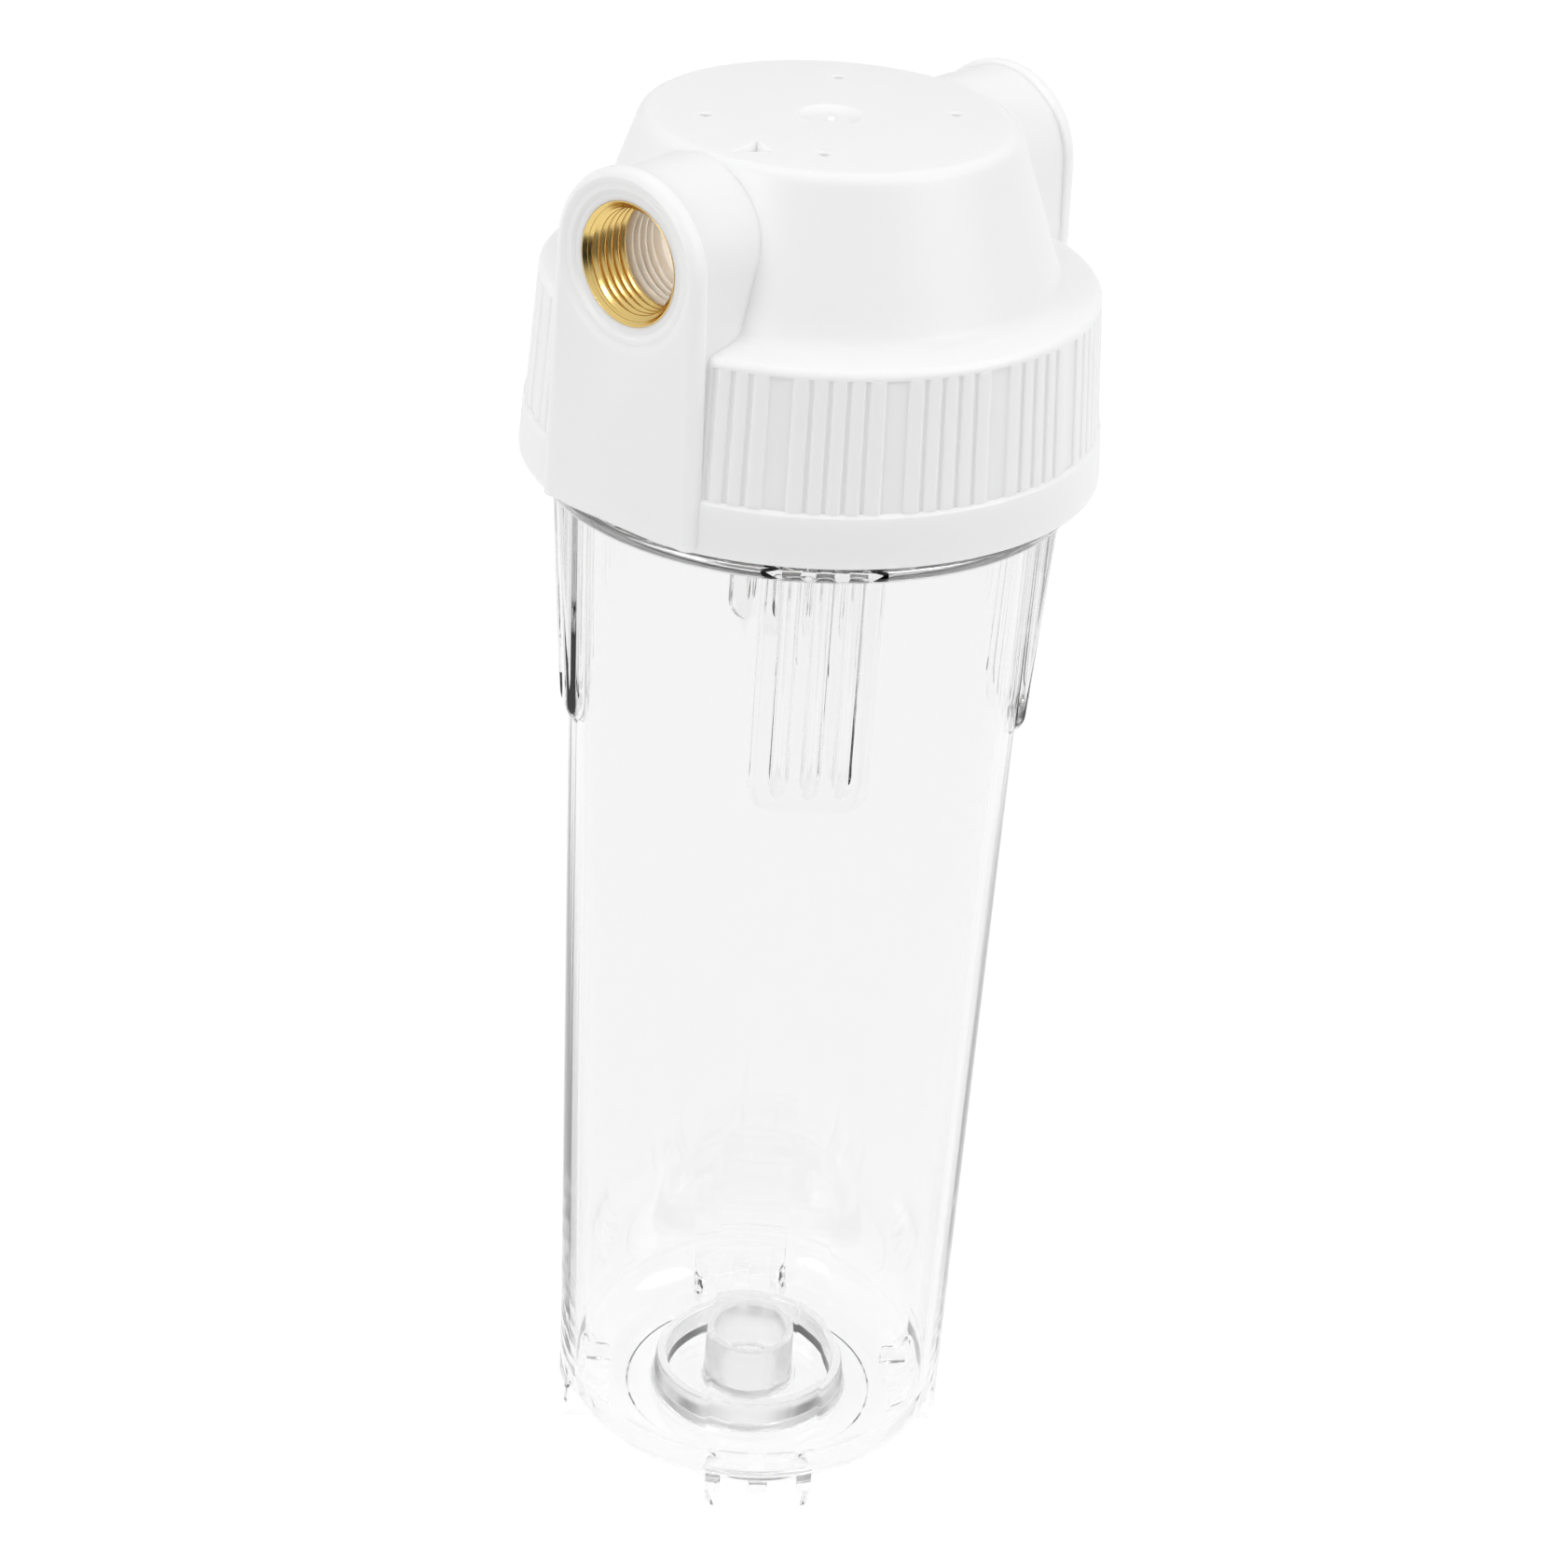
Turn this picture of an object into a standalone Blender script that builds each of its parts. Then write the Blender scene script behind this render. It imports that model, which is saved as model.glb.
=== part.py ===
"""Clear-bowl water filter housing: a white screw-on head with two brass-lined ports, over a clear bowl."""

from math import cos, degrees, pi, radians, sin, sqrt, tan

import bmesh
import bpy
from mathutils import Matrix, Vector

# All sizes are in metres. The origin is at the middle of the feet, +Z is up and the ports lie along X.

# Cartridge that the housing is made for
CARTRIDGE_LENGTH = 0.2477     # between its two seats
SEAT_RADIUS = 0.0214          # knife edges that press into its ends

# Bowl body
FOOT_DROP = 0.0022            # underside of the floor above the feet
BODY_DRAFT = 0.0196           # outward lean for each unit of height
BODY_WALL = 0.0032
FLOOR_THICKNESS = 0.0028
CORNER_OUTSIDE = 0.0115
CORNER_INSIDE = 0.0110
FLOOR_FLAT = 0.0071           # flat ring of floor between the lower seat and the rounded corner
RECESS_INSET = 0.0037         # edge of the underside's shallow recess inside the rounded corner
RECESS_DEPTH = 0.0004
EDGE_FILLET = 0.0005

# Cartridge seats on the floor of the bowl and under the head
SEAT_WALL = 0.0021
SEAT_HEIGHT = 0.0069
SEAT_DRAFT = 0.0010           # a seat is this much thicker at its root
SEAT_SINK = 0.0036            # the head's seat below the top of the neck
POST_RADIUS = 0.0101
POST_WALL = 0.0017
POST_HEIGHT = 0.0125
POST_DRAFT = 0.0004

# Flange and neck of the bowl
FLANGE_LIP = 0.0069           # beyond the body
FLANGE_THICKNESS = 0.0023
NECK_WALL = 0.0056
NECK_LEAD = 0.0021            # plain neck between the flange and the thread
NECK_LIP = 0.0024             # ring above the seal groove
NECK_CHAMFER = 0.0006

# Screw thread that holds the head
THREAD_PITCH = 0.005
THREAD_TURNS = 2.4
THREAD_HEIGHT = 0.0020
THREAD_ROOT = 0.0030          # width of a ridge where it leaves the wall
THREAD_CREST = 0.0012
THREAD_CLEARANCE = 0.0004     # crest to root
THREAD_ANCHOR = 0.0005        # depth that a ridge runs into its wall
THREAD_RUNOUT = 0.0006        # past the end of the head's ridge
THREAD_STEPS = 32             # for one turn

# Seal ring in the neck's groove
SEAL_SECTION = 0.0029
SEAL_GAP = 0.0002
GROOVE_DEPTH = 0.0028
GROOVE_SPARE = 0.0014         # groove wider than the ring

# Grip pads of the bowl
PAD_LENGTH = 0.0541
PAD_WIDTH = 0.0238
PAD_PROUD_FOOT = 0.0021
PAD_PROUD_FLANGE = 0.0041
PAD_CORNER = 0.0050
PAD_RAMP = 0.0050             # slope that the lower end of a pad rises on
PAD_HEEL = 0.0040             # fillet at the top of that slope
FLUTES = 3
FLUTE_WIDTH = 0.0036
FLUTE_PITCH = 0.0063
FLUTE_RISE = 0.0032           # lower end of a flute above the foot of its pad
FLUTE_FLOOR = 0.0004          # left standing on the body under a flute
FLUTE_END = 0.97              # share of its radius that the round end of a flute takes

# Feet of the bowl
FOOT_WIDTH = 0.0236
FOOT_HEIGHT = 0.0155
FOOT_REACH = 0.0105           # from the outer wall inward
FOOT_SKIN = 0.0017
FOOT_SIDE = 0.0034
FOOT_RIB = 0.0041
FOOT_CORNER = 0.0022
FOOT_PROUD = 0.00015
QUARTER_AZIMUTH = 45          # pads and feet, degrees from the port axis

# Head: skirt with grip ribs
RIM_GAP = 0.0025              # rim above the flange
BORE_CLEARANCE = 0.0006       # neck to the bore of the head
STOP_GAP = 0.0003             # top of the neck to the stop in the head
SKIRT_WALL = 0.0062           # outside the thread's root, at the rim
SKIRT_DRAFT = 0.0680          # inward lean of the skirt for each unit of height
BAND_HEIGHT = 0.0103          # smooth band above the rim
BAND_STEP = 0.0005
RIM_CHAMFER = 0.0010          # inside edge of the rim
SHOULDER_WALL = 0.0105        # stop to the top of the ribs
RIB_GROUPS = 16
RIBS = 5
RIB_PITCH = 3.6               # degrees
RIB_GROOVE = 1.3              # degrees, at the crest
RIB_FLANK = 0.35              # degrees, each side of a groove
RIB_DEPTH = 0.0008
RIB_CREST_SPARE = 0.00012     # keeps the rib cutter off the crests

# Head: shoulder and dome
SHOULDER_RISE = 0.0034        # top of the ribs to the foot of the dome
DOME_INSET = 0.0083           # foot of the dome inside the top of the ribs
DOME_HEIGHT = 0.0301
DOME_DRAFT = 0.355            # inward lean for each unit of height
DOME_FILLET = 0.0040          # where the dome meets the shoulder
DOME_WALL = 0.0048
CHAMBER_FILLET = 0.0025       # ceiling of the inlet chamber
HUB_FILLET = 0.0015
TOP_WALL = 0.0055
TOP_EDGE = 0.0028
SHOULDER_EDGE = 0.0016
DISH_RADIUS = 0.0064
DISH_DEPTH = 0.0011
NIB_RADIUS = 0.0008
NIB_HEIGHT = 0.0006

# Head: screw bosses for the wall bracket
BRACKET_X = 0.0197
BRACKET_Y = 0.0153
PILOT_RADIUS = 0.0015
PILOT_DEPTH = 0.0110
BOSS_RADIUS = 0.0042
BOSS_DROP = 0.0080            # below the ceiling of the chamber

# Head: ports
BORE_RADIUS = 0.0093          # passage, about the minor radius of a half-inch pipe thread
INSERT_RADIUS = 0.0120
INSERT_LENGTH = 0.0100
INSERT_WAIST = 0.0008         # depth of the groove that the moulding locks in
INSERT_BORE = 0.0099          # mean of the crest and root of the fine pipe thread
INSERT_MOUTH = 0.0114
INSERT_CHAMFER = 0.0010
INSERT_GAP = 0.0003
INSERT_RECESS = 0.0012        # face of the insert behind the face of the port
PORT_WALL = 0.0061            # outside the insert
MOUTH_LAND = 0.0015           # flat edge of a port's face, from its arch inward
MOUTH_SLOPE = 0.0015          # then a sloping step, a ledge and a second step down to the insert
MOUTH_LEDGE = 0.0011
MOUTH_STEP = 0.0008
MOUTH_SPARE = 0.0001          # the cutter runs this far out of the face
PORT_CREST = 0.0005           # crown of the port's collar above the flat top
PORT_INNER_X = 0.0180         # inner end of a port's boss
PLATE_INSET = 0.0015          # port face inside the outermost radius of the rim
PLATE_FLARE = 0.0016          # a plate is this much wider at the rim, each side
PLATE_EDGE = 0.0022
PLATE_LIFT = 0.0005           # plate above the rim
COLLAR_DEPTH = 0.0029         # thickness of the collar that carries a port's face
COLLAR_STEP = 0.0009          # the arch of the boss behind the collar is this much smaller
FLAT_INSET = 0.0002           # the skirt's own flat behind the face of a plate
DUCT_WALL = 0.0036            # its crest merges with the ceiling of the chamber
HUB_WALL = 0.0042
WELL_SPARE = 0.0003           # the upright well is this much wider than the bore it meets
NOZZLE_LENGTH = 0.0085        # below the plate of the seat
SEAT_PLATE = 0.0035

# Facets round a full turn
ROUND_STEPS = 48
PORT_STEPS = 24
SMALL_STEPS = 12
SEAL_STEPS = 6
ARC_STEP = 25                 # degrees of a fillet to one facet
FINE_FILLET = 0.0006          # a fillet smaller than this may be one facet
WELD = 0.00001                # points nearer than this are one point

# Levels and radii that follow from the sizes above
FLOOR_TOP = FOOT_DROP + FLOOR_THICKNESS
HEAD_SEAT = FLOOR_TOP + SEAT_HEIGHT + CARTRIDGE_LENGTH
NECK_TOP = HEAD_SEAT + SEAT_SINK
GROOVE_TOP = NECK_TOP - NECK_LIP
GROOVE_LOW = GROOVE_TOP - SEAL_SECTION - GROOVE_SPARE
THREAD_RISE = THREAD_PITCH * THREAD_TURNS
THREAD_LOW = GROOVE_LOW - THREAD_PITCH - THREAD_ROOT / 2 - THREAD_RISE
FLANGE_TOP = THREAD_LOW - THREAD_ROOT / 2 - NECK_LEAD
FLANGE_LOW = FLANGE_TOP - FLANGE_THICKNESS
RIM = FLANGE_TOP + RIM_GAP
STOP = NECK_TOP + STOP_GAP
RIB_LOW = RIM + BAND_HEIGHT + BAND_STEP
RIB_TOP = STOP + SHOULDER_WALL
DOME_LOW = RIB_TOP + SHOULDER_RISE
TOP = DOME_LOW + DOME_HEIGHT
CEILING = TOP - TOP_WALL
SEAT_OUTER = SEAT_RADIUS + SEAT_DRAFT
FLOOR_RADIUS = SEAT_OUTER + FLOOR_FLAT + CORNER_INSIDE + BODY_WALL


def body_radius(z):
    return FLOOR_RADIUS + BODY_DRAFT * (z - FLOOR_TOP)


RECESS_RADIUS = body_radius(FOOT_DROP) - CORNER_OUTSIDE - RECESS_INSET
NECK_BORE = body_radius(FLANGE_LOW) - BODY_WALL
NECK_RADIUS = NECK_BORE + NECK_WALL
FLANGE_RADIUS = body_radius(FLANGE_LOW) + FLANGE_LIP
HEAD_BORE = NECK_RADIUS + BORE_CLEARANCE
THREAD_CREST_RADIUS = NECK_RADIUS + THREAD_HEIGHT
HEAD_ROOT = THREAD_CREST_RADIUS + THREAD_CLEARANCE
RIM_RADIUS = HEAD_ROOT + SKIRT_WALL


def skirt_radius(z):
    return RIM_RADIUS - SKIRT_DRAFT * (z - RIM)


def rib_radius(z):
    return skirt_radius(z) - BAND_STEP


DOME_RADIUS = rib_radius(RIB_TOP) - DOME_INSET


def dome_radius(z):
    return DOME_RADIUS - DOME_DRAFT * (z - DOME_LOW)


PORT_RADIUS = INSERT_RADIUS + INSERT_GAP + PORT_WALL
PORT_FACE = RIM_RADIUS - PLATE_INSET
PORT_AXIS = TOP + PORT_CREST - PORT_RADIUS
SEAT_PLATE_LOW = HEAD_SEAT + SEAT_HEIGHT / 2
NOZZLE_LOW = SEAT_PLATE_LOW - NOZZLE_LENGTH
WELL_TOP = PORT_AXIS + BORE_RADIUS + WELL_SPARE
PAD_LOW = FLANGE_LOW - PAD_LENGTH


# Scene, collections and materials

def clear_scene():
    for item in list(bpy.data.objects):
        bpy.data.objects.remove(item, do_unlink=True)


def make_collection(name):
    collection = bpy.data.collections.new(name)
    bpy.context.scene.collection.children.link(collection)
    return collection


clear_scene()
PARTS = make_collection("filter_housing")
CUTTERS = make_collection("cutters")


def make_material(name, colour, roughness, metallic=0.0, transmission=0.0, alpha=1.0):
    material = bpy.data.materials.new(name)
    material.use_nodes = True
    shader = material.node_tree.nodes["Principled BSDF"]
    shader.inputs["Base Color"].default_value = (*colour, 1.0)
    shader.inputs["Roughness"].default_value = roughness
    shader.inputs["Metallic"].default_value = metallic
    shader.inputs["Transmission Weight"].default_value = transmission
    shader.inputs["Alpha"].default_value = alpha
    return material


# Outlines: lists of (across, up, fillet radius)

def rounded(outline, closed=False):
    """Replaces each corner that has a fillet radius by points on its arc."""
    points = []
    count = len(outline)
    for index, (across, up, fillet) in enumerate(outline):
        here = Vector((across, up))
        if not fillet:
            points.append(here)
            continue
        before = Vector(outline[index - 1][:2])
        after = Vector(outline[(index + 1) % count][:2])
        points.extend(arc_at(here, before, after, fillet))
    if closed:
        points.append(points[0])
    return points


def arc_at(corner, before, after, fillet):
    inward = (before - corner).normalized()
    outward = (after - corner).normalized()
    turn = pi - inward.angle(outward)
    reach = fillet * tan(turn / 2)
    middle = corner + (inward + outward).normalized() * fillet / cos(turn / 2)
    start = corner + inward * reach - middle
    side = 1 if start.cross(corner + outward * reach - middle) > 0 else -1
    steps = max(1 if fillet < FINE_FILLET else 2, round(degrees(turn) / ARC_STEP))
    return [middle + Matrix.Rotation(side * turn * step / steps, 2) @ start for step in range(steps + 1)]


# Objects

def add_object(name, mesh, collection):
    item = bpy.data.objects.new(name, mesh)
    collection.objects.link(item)
    if collection is CUTTERS:
        item.hide_render = True
        item.display_type = "WIRE"
    return item


def turned(name, outline, steps, collection=None, closed=False):
    """A profile at +X, running down its outer side, turned about Z."""
    points = rounded(outline, closed)
    mesh = bpy.data.meshes.new(name)
    links = [(index, index + 1) for index in range(len(points) - 1)]
    mesh.from_pydata([(point.x, 0, point.y) for point in points], links, [])
    item = add_object(name, mesh, collection or CUTTERS)
    screw = item.modifiers.new("Turn", "SCREW")
    screw.axis = "Z"
    screw.angle = 2 * pi
    screw.steps = steps
    screw.render_steps = steps
    screw.use_merge_vertices = True
    screw.merge_threshold = WELD
    return item


def solid_of(item):
    """The object's finished mesh, in world space and with its doubles welded."""
    bpy.context.view_layer.update()
    graph = bpy.context.evaluated_depsgraph_get()
    mesh = bpy.data.meshes.new_from_object(item.evaluated_get(graph))
    mesh.transform(item.matrix_world)
    work = bmesh.new()
    work.from_mesh(mesh)
    bmesh.ops.remove_doubles(work, verts=work.verts, dist=WELD)
    bmesh.ops.recalc_face_normals(work, faces=work.faces)
    work.to_mesh(mesh)
    work.free()
    return mesh


def sheet(name, outlines, low, high):
    """Flat outlines in XY, filled and given a thickness from low to high along Z."""
    curve = bpy.data.curves.new(name, "CURVE")
    curve.dimensions = "2D"
    curve.fill_mode = "BOTH"
    curve.extrude = (high - low) / 2
    for outline in outlines:
        points = rounded(outline)
        spline = curve.splines.new("POLY")
        spline.points.add(len(points) - 1)
        spline.use_cyclic_u = True
        for target, point in zip(spline.points, points):
            target.co = (point.x, point.y, 0, 1)
    item = bpy.data.objects.new(name, curve)
    CUTTERS.objects.link(item)
    item.location.z = (low + high) / 2
    mesh = solid_of(item)
    bpy.data.objects.remove(item)
    bpy.data.curves.remove(curve)
    return mesh


def patterned(name, mesh, places):
    """One cutter that holds a copy of the mesh at each of these matrices."""
    work = bmesh.new()
    for place in places:
        copy = mesh.copy()
        copy.transform(place)
        work.from_mesh(copy)
        bpy.data.meshes.remove(copy)
    bmesh.ops.recalc_face_normals(work, faces=work.faces)
    joined = bpy.data.meshes.new(name)
    work.to_mesh(joined)
    work.free()
    return add_object(name, joined, CUTTERS)


def combine(item, other, operation):
    step = item.modifiers.new(f"{operation.title()} {other.name}", "BOOLEAN")
    step.object = other
    step.operation = operation
    step.solver = "EXACT"


def finish(item, material, sharp=30):
    """Fixes the modelled shape in the mesh, smooth over its round faces."""
    mesh = solid_of(item)
    item.modifiers.clear()
    item.data = mesh
    mesh.name = item.name
    mesh.materials.clear()
    mesh.materials.append(material)
    mesh.shade_smooth()
    mesh.set_sharp_from_angle(angle=radians(sharp))


def about_z(angle):
    return Matrix.Rotation(radians(angle), 4, "Z")


def quarters():
    return [about_z(QUARTER_AZIMUTH + 90 * index) for index in range(4)]


# A sheet lies in XY: this stands it up, facing outward along +X, with its own Y as up
UPRIGHT = Matrix(((0, 0, 1, 0), (1, 0, 0, 0), (0, 1, 0, 0), (0, 0, 0, 1)))
BOTH_PORTS = [UPRIGHT, about_z(180) @ UPRIGHT]
# Turns a shape made about Z so that its top faces along +X
TO_PORT = Matrix.Rotation(pi / 2, 4, "Y")


def box_outline(left, right, low, high, lower_fillet=0.0, upper_fillet=0.0):
    return [
        (left, low, lower_fillet),
        (right, low, lower_fillet),
        (right, high, upper_fillet),
        (left, high, upper_fillet),
    ]


def thread_ridge(name, root, crest, start):
    """A helical ridge from its root radius to its crest radius, rising through THREAD_TURNS."""
    outward = 1 if crest > root else -1
    slope = (THREAD_ROOT - THREAD_CREST) / 2 / THREAD_HEIGHT
    anchor = root - outward * THREAD_ANCHOR
    anchor_half = THREAD_ROOT / 2 + slope * THREAD_ANCHOR
    section = [
        (anchor, -anchor_half),
        (crest, -THREAD_CREST / 2),
        (crest, THREAD_CREST / 2),
        (anchor, anchor_half),
    ]
    work = bmesh.new()
    corners = [work.verts.new((across, 0, start + up)) for across, up in section]
    work.faces.new(corners)
    steps = round(THREAD_STEPS * THREAD_TURNS)
    bmesh.ops.spin(
        work,
        geom=work.verts[:] + work.edges[:] + work.faces[:],
        cent=(0, 0, 0),
        axis=(0, 0, 1),
        dvec=(0, 0, THREAD_RISE / steps),
        angle=2 * pi * THREAD_TURNS,
        steps=steps,
        use_duplicate=False,
    )
    bmesh.ops.recalc_face_normals(work, faces=work.faces)
    mesh = bpy.data.meshes.new(name)
    work.to_mesh(mesh)
    work.free()
    return add_object(name, mesh, CUTTERS)


# Bowl

def bowl_outside():
    groove = NECK_RADIUS - GROOVE_DEPTH
    return [
        (0, NECK_TOP, 0),
        (NECK_RADIUS - NECK_CHAMFER, NECK_TOP, 0),
        (NECK_RADIUS, NECK_TOP - NECK_CHAMFER, 0),
        (NECK_RADIUS, GROOVE_TOP, 0),
        (groove, GROOVE_TOP, 0),
        (groove, GROOVE_LOW, 0),
        (NECK_RADIUS, GROOVE_LOW, 0),
        (NECK_RADIUS, FLANGE_TOP, 0),
        (FLANGE_RADIUS, FLANGE_TOP, EDGE_FILLET),
        (FLANGE_RADIUS, FLANGE_LOW, EDGE_FILLET),
        (body_radius(FLANGE_LOW), FLANGE_LOW, 0),
        (body_radius(FOOT_DROP), FOOT_DROP, CORNER_OUTSIDE),
        (RECESS_RADIUS, FOOT_DROP, 0),
        (RECESS_RADIUS - RECESS_DEPTH, FOOT_DROP + RECESS_DEPTH, 0),
        (0, FOOT_DROP + RECESS_DEPTH, 0),
    ]


def bowl_inside():
    seat_inner = SEAT_RADIUS - SEAT_WALL
    seat_top = FLOOR_TOP + SEAT_HEIGHT
    post_top = FLOOR_TOP + POST_HEIGHT
    post_inner = POST_RADIUS - POST_WALL
    return [
        (0, NECK_TOP + NECK_LIP, 0),
        (NECK_BORE, NECK_TOP + NECK_LIP, 0),
        (NECK_BORE, FLANGE_LOW, 0),
        (body_radius(FLOOR_TOP) - BODY_WALL, FLOOR_TOP, CORNER_INSIDE),
        (SEAT_OUTER, FLOOR_TOP, 0),
        (SEAT_RADIUS, seat_top, SEAT_WALL / 4),
        (seat_inner, seat_top, 0),
        (seat_inner - SEAT_DRAFT / 2, FLOOR_TOP, 0),
        (POST_RADIUS + POST_DRAFT, FLOOR_TOP, 0),
        (POST_RADIUS, post_top, POST_WALL / 4),
        (post_inner, post_top, 0),
        (post_inner - POST_DRAFT, FLOOR_TOP, 0),
        (0, FLOOR_TOP, 0),
    ]


def grip_pads():
    """Four raised pads under the flange, each with its upright flutes."""
    half = PAD_WIDTH / 2
    upper = FLANGE_LOW + FLANGE_THICKNESS / 2
    inner = body_radius(PAD_LOW) - BODY_WALL
    outer = body_radius(FLANGE_LOW) + 2 * PAD_PROUD_FLANGE
    face = sheet("pad_face", [box_outline(-half, half, PAD_LOW, upper, PAD_CORNER)], inner, outer)
    pads = patterned("grip_pads", face, [turn @ UPRIGHT for turn in quarters()])
    ramp = PAD_LOW + PAD_RAMP
    envelope = turned(
        "pad_envelope",
        [
            (0, upper + FLANGE_THICKNESS, 0),
            (body_radius(upper) + PAD_PROUD_FLANGE, upper + FLANGE_THICKNESS, 0),
            (body_radius(FLANGE_LOW) + PAD_PROUD_FLANGE, FLANGE_LOW, 0),
            (body_radius(ramp) + PAD_PROUD_FOOT, ramp, PAD_HEEL),
            (body_radius(PAD_LOW) - FLUTE_FLOOR, PAD_LOW, 0),
            (0, PAD_LOW - PAD_RAMP, 0),
        ],
        ROUND_STEPS,
    )
    combine(pads, envelope, "INTERSECT")
    combine(pads, flute_cutter(), "DIFFERENCE")
    return pads


def flute_cutter():
    """Round-ended upright cutters, three to a pad, that lean with the body's draft."""
    radius = FLUTE_WIDTH / 2
    low = PAD_LOW + FLUTE_RISE
    length = FLANGE_LOW + FLANGE_THICKNESS - low
    bit = turned(
        "flute_bit",
        [
            (0, length, 0),
            (radius, length, 0),
            (radius, 0, FLUTE_END * radius),
            (0, 0, 0),
        ],
        SMALL_STEPS,
    )
    mesh = solid_of(bit)
    lean = Matrix.Rotation(BODY_DRAFT, 4, "Y")
    depth = body_radius(low) + FLUTE_FLOOR + radius
    places = []
    for turn in quarters():
        for index in range(FLUTES):
            aside = FLUTE_PITCH * (index - (FLUTES - 1) / 2)
            swing = about_z(degrees(aside / depth))
            places.append(turn @ swing @ Matrix.Translation((depth, 0, low)) @ lean)
    bpy.data.objects.remove(bit)
    return patterned("flute_cutter", mesh, places)


def feet():
    """Four feet that carry the outer wall down past the rounded corner, hollow behind, with three ribs."""
    half = FOOT_WIDTH / 2
    outer = body_radius(0) + FOOT_PROUD
    inner = outer - FOOT_REACH
    outline = box_outline(-half, half, 0, FOOT_HEIGHT, FOOT_CORNER)
    block = sheet("foot_face", [outline], inner, outer + BODY_WALL)
    blocks = patterned("feet", block, [turn @ UPRIGHT for turn in quarters()])
    envelope = turned(
        "foot_envelope",
        [
            (0, FOOT_HEIGHT + FOOT_DROP, 0),
            (body_radius(FOOT_HEIGHT) + FOOT_PROUD, FOOT_HEIGHT + FOOT_DROP, 0),
            (outer, -FOOT_DROP, 0),
            (0, -FOOT_DROP, 0),
        ],
        ROUND_STEPS,
    )
    combine(blocks, envelope, "INTERSECT")
    pocket_width = (FOOT_WIDTH - 2 * FOOT_SIDE - FOOT_RIB) / 2
    pocket_outer = sqrt((outer - FOOT_SKIN) ** 2 - (half - FOOT_SIDE) ** 2)
    pocket = sheet(
        "pocket_face",
        [
            box_outline(side, side + pocket_width, -FOOT_DROP, FOOT_HEIGHT - FOOT_SKIN, 0, FOOT_CORNER / 2)
            for side in (FOOT_RIB / 2, -FOOT_RIB / 2 - pocket_width)
        ],
        inner - FOOT_SKIN,
        pocket_outer,
    )
    combine(blocks, patterned("foot_pockets", pocket, [turn @ UPRIGHT for turn in quarters()]), "DIFFERENCE")
    return blocks


def build_bowl():
    bowl = turned("sump", bowl_outside(), ROUND_STEPS, PARTS)
    combine(bowl, grip_pads(), "UNION")
    combine(bowl, feet(), "UNION")
    combine(bowl, turned("bowl_cavity", bowl_inside(), ROUND_STEPS), "DIFFERENCE")
    combine(bowl, thread_ridge("neck_thread", NECK_RADIUS, THREAD_CREST_RADIUS, THREAD_LOW), "UNION")
    finish(bowl, make_material("clear_plastic", (0.93, 0.95, 0.96), 0.06, transmission=1.0, alpha=0.35))


def build_seal():
    middle = NECK_RADIUS - GROOVE_DEPTH + SEAL_GAP + SEAL_SECTION / 2
    seal = turned("sump_o_ring", seal_section(middle), ROUND_STEPS, PARTS, closed=True)
    finish(seal, make_material("black_rubber", (0.03, 0.03, 0.03), 0.6), 60)


def seal_section(middle):
    """Round section at the middle of the groove, read clockwise from the top."""
    centre = (GROOVE_LOW + GROOVE_TOP) / 2
    radius = SEAL_SECTION / 2
    angles = [pi / 2 - 2 * pi * index / SEAL_STEPS for index in range(SEAL_STEPS)]
    return [(middle + radius * cos(angle), centre + radius * sin(angle), 0) for angle in angles]


# Head

def head_outside():
    top_radius = dome_radius(TOP)
    rib_low = rib_radius(RIB_LOW)
    return [
        (0, TOP - DISH_DEPTH + NIB_HEIGHT, 0),
        (NIB_RADIUS, TOP - DISH_DEPTH + NIB_HEIGHT, 0),
        (NIB_RADIUS, TOP - DISH_DEPTH, 0),
        (DISH_RADIUS - 2 * DISH_DEPTH, TOP - DISH_DEPTH, 0),
        (DISH_RADIUS, TOP, 0),
        (top_radius, TOP, TOP_EDGE),
        (DOME_RADIUS, DOME_LOW, DOME_FILLET),
        (rib_radius(RIB_TOP), RIB_TOP + SHOULDER_EDGE, SHOULDER_EDGE),
        (rib_low, RIB_LOW, 0),
        (skirt_radius(RIM + BAND_HEIGHT), RIM + BAND_HEIGHT, 0),
        (RIM_RADIUS, RIM, EDGE_FILLET),
        (0, RIM, 0),
    ]


def rib_cutter():
    """A ring whose inner outline leaves groups of upright ribs, with a plain panel between groups."""
    crest = rib_radius(RIB_LOW) + RIB_CREST_SPARE
    floor = rib_radius(RIB_LOW) - RIB_DEPTH
    group = 360 / RIB_GROUPS
    panel = group - (RIBS - 1) * RIB_PITCH - (RIB_PITCH - RIB_GROOVE)
    inner = []
    for index in range(RIB_GROUPS):
        middle = index * group
        for gap in range(RIBS - 1):
            centre = middle + RIB_PITCH * (gap - (RIBS - 2) / 2)
            inner += recess_points(centre, RIB_GROOVE, crest, floor)
        inner += recess_points(middle + group / 2, panel, crest, floor)
    clear = RIM_RADIUS + SKIRT_WALL
    outer = [(clear * cos(angle), clear * sin(angle), 0) for angle in ring_angles(ROUND_STEPS)]
    mesh = sheet("rib_cutter", [outer, inner], RIB_LOW, RIB_TOP)
    shrink = (rib_radius(RIB_TOP) + RIB_CREST_SPARE) / crest
    for vertex in mesh.vertices:
        if vertex.co.z > (RIB_LOW + RIB_TOP) / 2:
            vertex.co.x *= shrink
            vertex.co.y *= shrink
    return add_object("rib_cutter", mesh, CUTTERS)


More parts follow.
